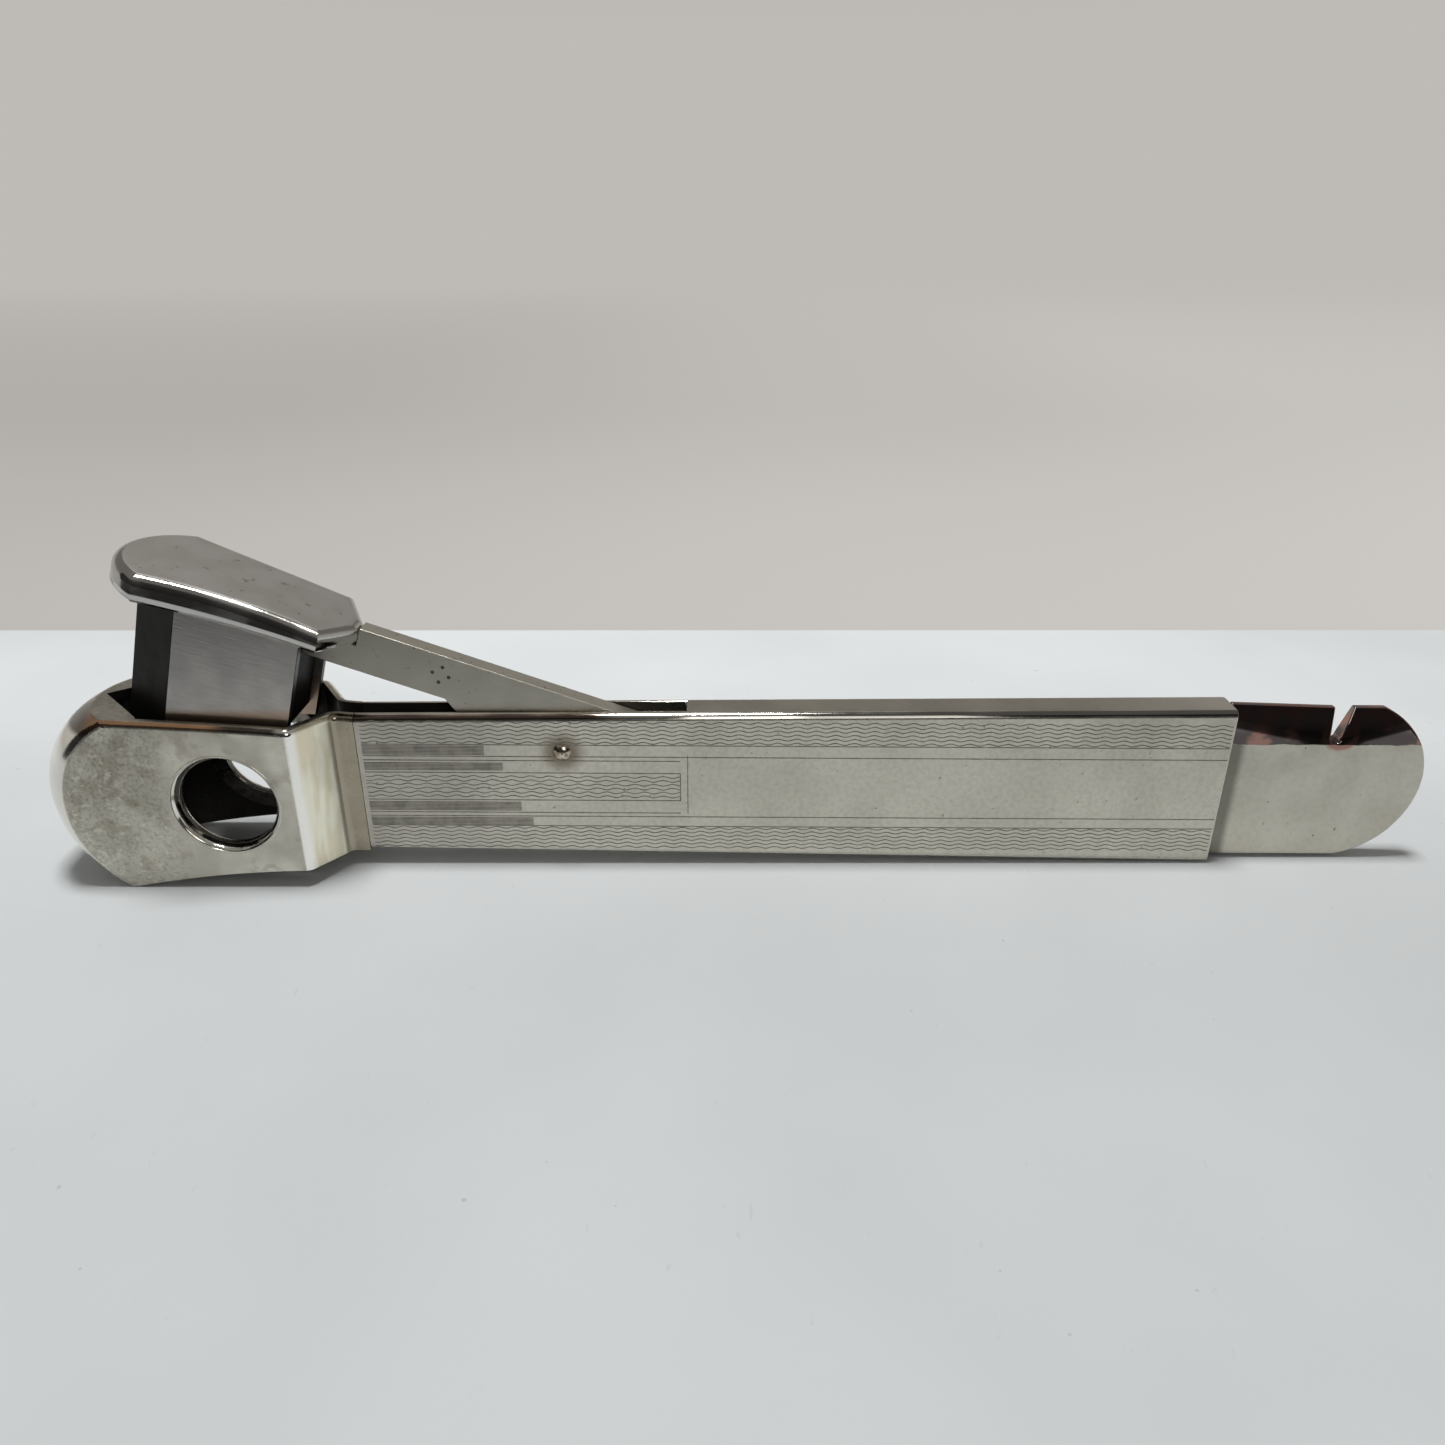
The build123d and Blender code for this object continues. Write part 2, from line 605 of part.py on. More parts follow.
with BuildPart() as blade_core:
    with BuildSketch(side(BLOCK)):
        core_low = blade_low(0.0) + CORE_LIFT
        Polygon(
            (-NOSE_BLADE_REACH, core_low),
            (0.0, core_low),
            (CORE_LENGTH, blade_low(CORE_LENGTH) + CORE_LIFT),
            (CORE_LENGTH, BLOCK_TALL),
            (-NOSE_BLADE_REACH, BLOCK_TALL),
            align=None,
        )
    extrude(amount=inner_half, both=True)
    half = ((inner_apex, 0.0), (inner_shoulder, inner_half), (CORE_LENGTH, inner_half))
    with BuildSketch(top(BLOCK, -BLOCK_TALL)):
        Polygon(*half, *[(u, -y) for u, y in reversed(half[1:])], align=None)
    extrude(amount=2 * BLOCK_TALL, mode=Mode.INTERSECT)
    split(bisect_by=pad_floor, keep=Keep.BOTTOM)
    extrude(rivet_discs(0.0), amount=BLADE_HALF, both=True, mode=Mode.SUBTRACT)
blade_core.part.label = "blade_core"
export_step(blade_core.part, "parts/blade_core.step")

with BuildPart() as blade_rivets:
    extrude(rivet_discs(0.0), amount=rivet_half_length, both=True)
blade_rivets.part.label = "blade_rivets"
export_step(blade_rivets.part, "parts/blade_rivets.step")
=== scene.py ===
"""Finishes and fine detail for a lever cigar cutter with a box opener in its handle.

Each operator finishes one piece or one group of like pieces. Lengths in the code are
metres unless a name ends in _mm.
"""
import math

import bmesh
import bpy
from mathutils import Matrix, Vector


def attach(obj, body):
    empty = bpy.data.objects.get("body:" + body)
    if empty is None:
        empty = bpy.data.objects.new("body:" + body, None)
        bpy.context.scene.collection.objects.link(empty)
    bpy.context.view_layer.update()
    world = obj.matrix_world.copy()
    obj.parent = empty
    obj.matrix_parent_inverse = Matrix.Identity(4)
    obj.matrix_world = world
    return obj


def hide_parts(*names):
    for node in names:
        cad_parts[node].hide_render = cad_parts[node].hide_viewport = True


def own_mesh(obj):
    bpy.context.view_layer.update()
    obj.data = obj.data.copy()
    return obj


bl_info = {
    "name": "Cigar Cutter Finishes",
    "version": (1, 0, 0),
    "blender": (4, 5, 0),
    "location": "View3D > Sidebar > Cutter",
    "description": "Finishes, engraving and stage for a lever cigar cutter",
    "category": "Object",
}

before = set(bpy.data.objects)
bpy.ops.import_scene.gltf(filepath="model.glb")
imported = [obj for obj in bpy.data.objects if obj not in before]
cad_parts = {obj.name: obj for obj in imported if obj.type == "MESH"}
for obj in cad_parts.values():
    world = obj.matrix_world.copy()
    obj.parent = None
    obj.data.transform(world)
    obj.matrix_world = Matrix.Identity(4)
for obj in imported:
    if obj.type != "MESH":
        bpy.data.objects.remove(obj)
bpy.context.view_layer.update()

MM = 0.001
STANCE = math.radians(0.37)
LEVER_TURN = math.radians(19.87)
BLOCK_TURN = math.radians(15.87)
HANDLE_ORIGIN = Vector((-19.453, 0.0, 9.838)) * MM
LEVER_ORIGIN = Vector((-20.827, 0.0, 10.083)) * MM
BLOCK_ORIGIN = Vector((-59.388, 0.0, 20.096)) * MM
HANDLE_FRAME = (HANDLE_ORIGIN, STANCE)
LEVER_FRAME = (LEVER_ORIGIN, LEVER_TURN)
BLOCK_FRAME = (BLOCK_ORIGIN, BLOCK_TURN)
STAGE_FRAME = (Vector((0.0, 0.0, 0.0)), 0.0)

# Distances from the middle plane to the engraved faces, and how far the lines stand off.
SLEEVE_FACE = 0.002285
ARM_FACE = 0.0011
LINE_LIFT = 0.000012

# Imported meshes: vertices closer than this are one, edges flatter than this are not
# edges, edges sharper than this are rounded.
WELD = 2e-6
FLAT_ANGLE = math.radians(0.6)
SHARP_ANGLE = math.radians(32)

BLACK = (0.0, 0.0, 0.0, 1.0)
WHITE = (1.0, 1.0, 1.0, 1.0)


# ------------------------------------------------------------------ node trees
class Value:
    """A node's output socket that takes part in sums."""

    def __init__(self, graph, socket):
        self.graph = graph
        self.socket = socket

    def math(self, operation, *others):
        """A Math node on this value and the others."""
        return self.graph.math(operation, self, *others)

    def __add__(self, other):
        return self.math("ADD", other)

    __radd__ = __add__

    def __sub__(self, other):
        return self.math("SUBTRACT", other)

    def __rsub__(self, other):
        return self.graph.math("SUBTRACT", other, self)

    def __mul__(self, other):
        return self.math("MULTIPLY", other)

    __rmul__ = __mul__

    def __truediv__(self, other):
        return self.math("DIVIDE", other)


class Graph:
    """A node tree under construction."""

    def __init__(self, tree):
        self.tree = tree

    def node(self, kind, settings=(), sockets=(), output=0):
        """Adds a node with its settings and its sockets' values or links."""
        node = self.tree.nodes.new(kind)
        for name, value in dict(settings).items():
            setattr(node, name, value)
        for name, value in dict(sockets).items():
            if isinstance(value, Value):
                self.tree.links.new(value.socket, node.inputs[name])
            else:
                node.inputs[name].default_value = value
        return Value(self, node.outputs[output]) if node.outputs else node

    def math(self, operation, *values):
        """A Math node on the values, in order."""
        return self.node("ShaderNodeMath", {"operation": operation}, enumerate(values))

    def rise(self, value, low, high):
        """0 where value is at low or beyond, 1 at high, with a soft step between."""
        sockets = {"Value": value, "From Min": low, "From Max": high}
        return self.node("ShaderNodeMapRange", {"interpolation_type": "SMOOTHSTEP"}, sockets)

    def band(self, value, low, high, soft):
        """1 where value lies between low and high, falling off over soft."""
        return self.rise(value, low - soft, low) * self.rise(value, high + soft, high)


class Finish(Graph):
    """A material on a piece's own millimetre coordinates, in its leaning frame."""

    def __init__(self, name, place=HANDLE_FRAME):
        self.material = bpy.data.materials.new(name)
        self.material.use_nodes = True
        super().__init__(self.material.node_tree)
        self.tree.nodes.clear()
        origin, turn = place
        kind = "ShaderNodeTexCoord"
        sockets = {
            "Vector": self.node(kind, output="Object"),
            "Location": origin,
            "Rotation": (0.0, turn, 0.0),
            "Scale": (MM, MM, MM),
        }
        self.place = self.node("ShaderNodeMapping", {"vector_type": "TEXTURE"}, sockets)
        sockets = {"Vector": self.node(kind, output="Normal"), "Angle": -turn}
        facing = self.node("ShaderNodeVectorRotate", {"rotation_type": "Y_AXIS"}, sockets)
        self.x, self.y, self.z = self.parts(self.place)
        self.facing = self.parts(facing)

    def parts(self, vector):
        """A vector's three components."""
        return [self.node("ShaderNodeSeparateXYZ", (), {0: vector}, axis) for axis in range(3)]

    def noise(self, scale, detail=2.0, stretch=(1.0, 1.0, 1.0), lean=0.0, shift=0.0):
        """Noise with features of about 1/scale millimetres, drawn out by stretch."""
        sockets = {
            "Vector": self.place,
            "Location": (shift, shift * 0.7, -shift),
            "Rotation": (0.0, lean, 0.0),
            "Scale": stretch,
        }
        spot = self.node("ShaderNodeMapping", {"vector_type": "TEXTURE"}, sockets)
        return self.node("ShaderNodeTexNoise", (), {"Vector": spot, "Scale": scale, "Detail": detail})

    def mix(self, factor, first, second):
        """A colour between first and second."""
        sockets = {0: factor, 6: first, 7: second}
        return self.node("ShaderNodeMix", {"data_type": "RGBA"}, sockets, 2)

    def edges(self, start=0.992, end=0.9):
        """1 on rounded edges, 0 on faces square to the piece's frame."""
        size = [part.math("ABSOLUTE") for part in self.facing]
        most = size[0].math("MAXIMUM", size[1]).math("MAXIMUM", size[2])
        return self.rise(most, start, end)

    def hollow(self, back=-500.0):
        """1 on faces that look in towards the piece's middle, past back along it."""
        outward = (self.x - back).math("MINIMUM", 0.0) * self.facing[0]
        outward = outward + self.y * self.facing[1] + self.z * self.facing[2] * 0.5
        return self.rise(outward, 0.0, -0.3)

    def scratches(self, lean, shift, length=7.0, fine=9.0, share=0.69):
        """Thin straight marks along a direction leaning from level."""
        grain = self.noise(fine, 1.0, (length, 1.0, 0.5), lean, shift)
        return self.rise(grain, share, share + 0.05)

    def surface(self, colour, roughness, metallic=1.0, height=None, depth=0.1, **fixed):
        """The material's shader, with height in millimetres as its bump."""
        sockets = {"Base Color": colour, "Roughness": roughness, "Metallic": metallic}
        if height is not None:
            bump = {"Height": height, "Strength": 1.0, "Distance": depth * MM}
            sockets["Normal"] = self.node("ShaderNodeBump", (), bump)
        sockets.update(fixed)
        shader = self.node("ShaderNodeBsdfPrincipled", (), sockets)
        self.node("ShaderNodeOutputMaterial", (), {"Surface": shader})
        return self.material


# -------------------------------------------------------------------- settings
def tone(name, text, value):
    """A colour property."""
    limits = {"min": 0.0, "max": 1.0, "default": (*value, 1.0)}
    return bpy.props.FloatVectorProperty(name=name, description=text, subtype="COLOR", size=4, **limits)


def length(name, text, value):
    """A length property in metres."""
    return bpy.props.FloatProperty(
        name=name, description=text, default=value, min=0.0, unit="LENGTH", precision=5
    )


class CutterMetals(bpy.types.PropertyGroup):
    """Tones of the cutter's metals."""

    nickel: tone("Nickel silver", "Clean nickel silver", (0.64, 0.615, 0.535))
    dull: tone("Dulled nickel", "Nickel silver dulled by handling", (0.54, 0.515, 0.44))
    tarnish: tone("Tarnish", "Brown tarnish in freckles and corners", (0.2, 0.145, 0.09))
    polished: tone("Polished edge", "Nickel silver worn bright along edges", (0.86, 0.84, 0.78))
    steel: tone("Ground steel", "Faces of the ground blades", (0.6, 0.57, 0.545))
    # The dark tone is also painted into hollows of the head and sleeve as painted shade.
    dark: tone("Dark steel", "Hardened or unfinished steel", (0.022, 0.02, 0.019))
    brass: tone("Brass", "Shims and washers", (0.72, 0.53, 0.24))
    blued: tone("Blued spring", "Tempered leaf spring", (0.07, 0.09, 0.16))
    groove: tone("Engraved line", "Bottom of an engraved line", (0.3, 0.28, 0.24))


class CutterEngraving(bpy.types.PropertyGroup):
    """Sizes of the engraved pattern."""

    width: length("Line width", "Width of an engraved line", 0.00011)
    pitch: length("Pitch", "Distance between neighbouring wave lines", 0.00048)
    wave: length("Wavelength", "Length of one wave", 0.00206)
    swing: length("Swing", "Height of a wave above its middle", 0.00011)
    lift: length("Lift", "Clearance of the lines from the metal", LINE_LIFT)


class CutterStage(bpy.types.PropertyGroup):
    """The table, the backdrop and the light."""

    table: tone("Table", "Pale table top", (0.77, 0.81, 0.835))
    backdrop: tone("Backdrop", "Wall behind the table", (0.515, 0.495, 0.468))
    wall: length("Wall", "Distance from the cutter's middle to the wall line", 0.075)
    power: bpy.props.FloatProperty(
        name="Lamp power", description="Power of the overhead lamp", default=2.0, min=0.0, unit="POWER"
    )


# --------------------------------------------------------------------- helpers
def paint(piece, material):
    """Gives a piece one material."""
    piece.data.materials.clear()
    piece.data.materials.append(material)


def paint_node(name, material):
    """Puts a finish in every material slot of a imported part."""
    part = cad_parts[name]
    for slot in part.material_slots:
        slot.material = material


def sheet(name, corners, material):
    """A flat piece with four corners."""
    mesh = bpy.data.meshes.new(name)
    mesh.from_pydata(corners, [], [(0, 1, 2, 3)])
    piece = bpy.data.objects.new(name, mesh)
    bpy.context.scene.collection.objects.link(piece)
    paint(piece, material)
    return piece


def placed(mesh, name, material, body):
    """A finished piece from a mesh that already lies in place."""
    piece = bpy.data.objects.new(name, mesh)
    bpy.context.scene.collection.objects.link(piece)
    paint(piece, material)
    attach(piece, body)
    return piece


def settled(piece):
    """A plain mesh of the piece as its modifiers leave it; the piece is removed."""
    bpy.context.view_layer.update()
    shown = piece.evaluated_get(bpy.context.evaluated_depsgraph_get())
    mesh = bpy.data.meshes.new_from_object(shown)
    bpy.data.objects.remove(piece)
    return mesh


def merged(name):
    """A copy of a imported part's mesh as one welded shell of large faces."""
    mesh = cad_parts[name].data.copy()
    shell = bmesh.new()
    shell.from_mesh(mesh)
    bmesh.ops.remove_doubles(shell, verts=shell.verts, dist=WELD)
    bmesh.ops.dissolve_limit(shell, angle_limit=FLAT_ANGLE, verts=shell.verts, edges=shell.edges)
    for face in shell.faces:
        face.smooth = True
    for edge in shell.edges:
        edge.smooth = len(edge.link_faces) == 2 and edge.calc_face_angle(0.0) < SHARP_ANGLE
    shell.to_mesh(mesh)
    shell.free()
    for layer in list(mesh.attributes):
        if layer.name == "custom_normal":
            mesh.attributes.remove(layer)
    return mesh


def softened(name, width, material, body):
    """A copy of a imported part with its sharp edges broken, which stands for it."""
    shape = bpy.data.objects.new("shape", merged(name))
    bpy.context.scene.collection.objects.link(shape)
    bevel = shape.modifiers.new("Edges", "BEVEL")
    bevel.width = width
    bevel.segments = 2
    bevel.limit_method = "ANGLE"
    bevel.angle_limit = SHARP_ANGLE
    bevel.use_clamp_overlap = True
    weighted = shape.modifiers.new("Shading", "WEIGHTED_NORMAL")
    weighted.keep_sharp = True
    piece = placed(settled(shape), name + "_edged", material, body)
    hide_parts(name)
    return piece


def grown(tree, steps):
    """A plain mesh from a Geometry Nodes tree run once for each set of named inputs."""
    piece = bpy.data.objects.new("pattern", bpy.data.meshes.new("pattern"))
    bpy.context.scene.collection.objects.link(piece)
    items = tree.interface.items_tree
    sockets = {item.name: item.identifier for item in items if item.in_out == "INPUT"}
    for step in steps:
        modifier = piece.modifiers.new("Step", "NODES")
        modifier.node_group = tree
        for name, value in step.items():
            modifier[sockets[name]] = value
    return settled(piece)


def new_tree(name, inputs):
    """A Geometry Nodes tree that adds to its geometry, and its named inputs."""
    tree = bpy.data.node_groups.new(name, "GeometryNodeTree")
    tree.interface.new_socket("Geometry", in_out="INPUT", socket_type="NodeSocketGeometry")
    for label, kind in inputs:
        tree.interface.new_socket(label, in_out="INPUT", socket_type="NodeSocket" + kind)
    tree.interface.new_socket("Geometry", in_out="OUTPUT", socket_type="NodeSocketGeometry")
    graph = Graph(tree)
    source = tree.nodes.new("NodeGroupInput")
    given = {label: Value(graph, source.outputs[label]) for label in ["Geometry", *dict(inputs)]}
    return tree, graph, given


def end_tree(graph, given, shape):
    """Joins the shape to what came in, realizes it all and gives it its material."""
    join = graph.tree.nodes.new("GeometryNodeJoinGeometry")
    for part in (given["Geometry"], shape):
        graph.tree.links.new(part.socket, join.inputs[0])
    whole = Value(graph, join.outputs[0])
    whole = graph.node("GeometryNodeRealizeInstances", (), {"Geometry": whole})
    whole = graph.node("GeometryNodeSetMaterial", (), {"Geometry": whole, "Material": given["Material"]})
    out = graph.tree.nodes.new("NodeGroupOutput")
    graph.tree.links.new(whole.socket, out.inputs[0])


# ----------------------------------------------------------------------- stage
TABLE_REACH = 3.0
DUST = (0.35, 0.32, 0.28, 1.0)
SCUFF = (0.5, 0.5, 0.5, 1.0)
LAMP_SIZE = 0.1
LAMP_PLACE = (-0.022, 0.004, 0.5)
LAMP_COLOUR = (1.0, 0.985, 0.965)
CARD_BLACK = (0.012, 0.011, 0.011, 1.0)
CARD_WHITE = (1.0, 0.97, 0.93, 1.0)
CARD_GLOW = 2.2
LENS_MM = 27.41
CAMERA_PLACE = (-0.00222, -0.10856, 0.06619)
CAMERA_TURN = (math.radians(90.0 - 24.62), 0.0, -0.0005)


class CUTTER_OT_stage(bpy.types.Operator):
    """Makes the pale table, the backdrop, the lights and the camera"""

    bl_idname = "cutter.stage"
    bl_label = "Stage"
    bl_options = {"REGISTER", "UNDO"}

    def execute(self, context):
        stage = context.scene.cutter_stage
        self.table(stage)
        self.room(stage)
        self.lamp(stage)
        self.cards()
        self.camera()
        return {"FINISHED"}

    def table(self, stage):
        """The table top, whose finish turns into the lit backdrop at the wall line."""
        finish = Finish("table_top", STAGE_FRAME)
        haze = finish.noise(0.02, 3.0)
        dust = finish.rise(finish.noise(0.55, 2.0, shift=40.0), 0.755, 0.79)
        scuff = finish.rise(finish.noise(1.4, 2.0, (1.0, 3.0, 1.0), shift=9.0), 0.72, 0.8)
        pale = [c * 0.93 for c in stage.table[:3]] + [1.0]
        colour = finish.mix(finish.rise(haze, 0.3, 0.7), tuple(stage.table), tuple(pale))
        colour = finish.mix(dust * 0.4, colour, DUST)
        colour = finish.mix(scuff * 0.2, colour, SCUFF)
        # Painted shade: the table top darkens towards the front.
        near = finish.rise(finish.y, 60.0, -25.0)
        colour = finish.mix(near * 0.2, colour, BLACK)
        top = {"Base Color": colour, "Roughness": 0.9, "Specular IOR Level": 0.0}
        top = finish.node("ShaderNodeBsdfPrincipled", (), top)
        edge = stage.wall / MM
        # Painted light on the lit backdrop: lighter at its foot by the wall line, painted shade to the
        # left and painted light to the right.
        low = [c * 1.13 for c in stage.backdrop[:3]] + [1.0]
        tint = finish.mix(finish.rise(finish.y, edge, edge + 260.0), tuple(low), tuple(stage.backdrop))
        close = finish.rise(finish.y, 1300.0, 200.0)
        tint = finish.mix(finish.rise(finish.x, 60.0, -200.0) * close * 0.14, tint, BLACK)
        tint = finish.mix(finish.rise(finish.x, 40.0, 260.0) * close * 0.1, tint, WHITE)
        wall = finish.node("ShaderNodeEmission", (), {"Color": tint, "Strength": 1.0})
        beyond = finish.rise(finish.y, edge - 0.4, edge + 0.4)
        shader = finish.node("ShaderNodeMixShader", (), {0: beyond, 1: top, 2: wall})
        finish.node("ShaderNodeOutputMaterial", (), {"Surface": shader})
        far = TABLE_REACH
        corners = [(-far, -far, 0.0), (far, -far, 0.0), (far, far, 0.0), (-far, far, 0.0)]
        table = sheet("table", corners, finish.material)

    def room(self, stage):
        """The room around the stage, darker overhead."""
        world = bpy.data.worlds.new("room")
        bpy.context.scene.world = world
        world.use_nodes = True
        world.node_tree.nodes.clear()
        room = Graph(world.node_tree)
        way = room.node("ShaderNodeTexCoord", output="Generated")
        height = room.node("ShaderNodeSeparateXYZ", (), {0: way}, 2)
        above = [c * 0.42 for c in stage.backdrop[:3]] + [1.0]
        sky = {0: room.rise(height, 0.12, 0.4), 6: tuple(stage.backdrop), 7: tuple(above)}
        sky = room.node("ShaderNodeMix", {"data_type": "RGBA"}, sky, 2)
        sky = room.node("ShaderNodeBackground", (), {"Color": sky, "Strength": 1.0})
        room.node("ShaderNodeOutputWorld", (), {"Surface": sky})

    def lamp(self, stage):
        """The square lamp over the cutter."""
        lamp = bpy.data.lights.new("overhead", "AREA")
        lamp.shape = "RECTANGLE"
        lamp.size = LAMP_SIZE
        lamp.size_y = LAMP_SIZE
        lamp.energy = stage.power
        lamp.color = LAMP_COLOUR
        holder = bpy.data.objects.new("overhead", lamp)
        holder.location = LAMP_PLACE
        bpy.context.scene.collection.objects.link(holder)

    def cards(self):
        """Cards that show only in the metal's reflections."""
        black = Finish("black_card", STAGE_FRAME).surface(CARD_BLACK, 0.9, 0.0)
        glow = Finish("white_card", STAGE_FRAME)
        shine = glow.node("ShaderNodeEmission", (), {"Color": CARD_WHITE, "Strength": CARD_GLOW})
        glow.node("ShaderNodeOutputMaterial", (), {"Surface": shine})
        lift, top = 0.0006, 0.16
        sole = [(-0.4, -0.062, lift), (0.4, -0.062, lift), (0.4, -0.1, lift), (-0.4, -0.1, lift)]
        front = [(-0.4, -0.1, 0.0), (0.4, -0.1, 0.0), (0.4, -0.15, top), (-0.4, -0.15, top)]
        left = [(-0.24, -0.2, 0.0), (-0.24, -0.2, top), (-0.24, 0.02, top), (-0.24, 0.02, 0.0)]
        white = [(x, -0.095, z) for x, z in ((-0.01, 0.045), (0.05, 0.045), (0.05, 0.11), (-0.01, 0.11))]
        cards = {
            "sole_card": (sole, black),
            "front_card": (front, black),
            "left_card": (left, black),
            "white_card": (white, glow.material),
        }
        for name, (corners, material) in cards.items():
            card = sheet(name, corners, material)
            card.visible_camera = False
            card.visible_diffuse = False
            card.visible_shadow = False
            card.visible_transmission = False

    def camera(self):
        """The camera in front of the cutter, looking down at it."""
        camera = bpy.data.cameras.new("camera")
        camera.lens = LENS_MM
        camera.sensor_width = 36.0
        camera.clip_start = 0.005
        camera.clip_end = 20.0
        holder = bpy.data.objects.new("camera", camera)
        holder.location = CAMERA_PLACE
        holder.rotation_euler = CAMERA_TURN
        bpy.context.scene.collection.objects.link(holder)
        bpy.context.scene.camera = holder
        bpy.context.scene.view_settings.view_transform = "Standard"


# ------------------------------------------------------------------------ head
HEAD_SHADE = (0.33, 0.32, 0.27, 1.0)
HEAD_WORN = (0.3, 0.285, 0.24, 1.0)
HEAD_FRECKLE = (0.2, 0.18, 0.145, 1.0)
HEAD_PALE = (0.66, 0.64, 0.57, 1.0)
# A painted reflection of the bright table on the ramp, and its streaks.
RAMP_LIGHT = (0.97, 0.94, 0.78, 1.0)
RAMP_DARK = (0.82, 0.75, 0.57, 1.0)
BEND_HIGHLIGHT = (1.0, 0.98, 0.93, 1.0)
COLLAR_PAINTED_SHADE = (0.36, 0.315, 0.235, 1.0)
RIM_DARK_REFLECTION = (0.07, 0.045, 0.03, 1.0)
RIM_ORANGE_REFLECTION = (0.85, 0.5, 0.28, 1.0)
LIP_STAIN = (0.34, 0.3, 0.23, 1.0)
# Painted shade: dark tones for the steel within the bores.
BORE_LIGHT = (0.2, 0.185, 0.165, 1.0)
BORE_DARK = (0.1, 0.085, 0.07, 1.0)

# Spans of x and z in the handle's frame.
WORN_MM = (-54.0, -43.0)
RAMP_MM = (-27.9, -24.6)
BEND_MM = (-27.7, -27.0)
COLLAR_MM = (-24.6, -24.4)
RIM_MM = (-53.0, -29.0)
RIM_RISE_MM = (7.6, 8.2)
ORANGE_REFLECTION_MM = (-46.0, -36.0)

# The bore's middle, the head's half width, and the lip's radii with their depths.
BORE_X_MM = -35.0
FLANK_MM = 7.09
LIP_MM = (
    (5.84, -0.004), (5.7, 0.012), (5.56, 0.085), (5.42, 0.23), (5.3, 0.44),
    (5.2, 0.72), (5.12, 1.1), (5.066, 1.62), (5.3, 1.62), (5.84, 0.5),
)
LIP_STEPS = 144


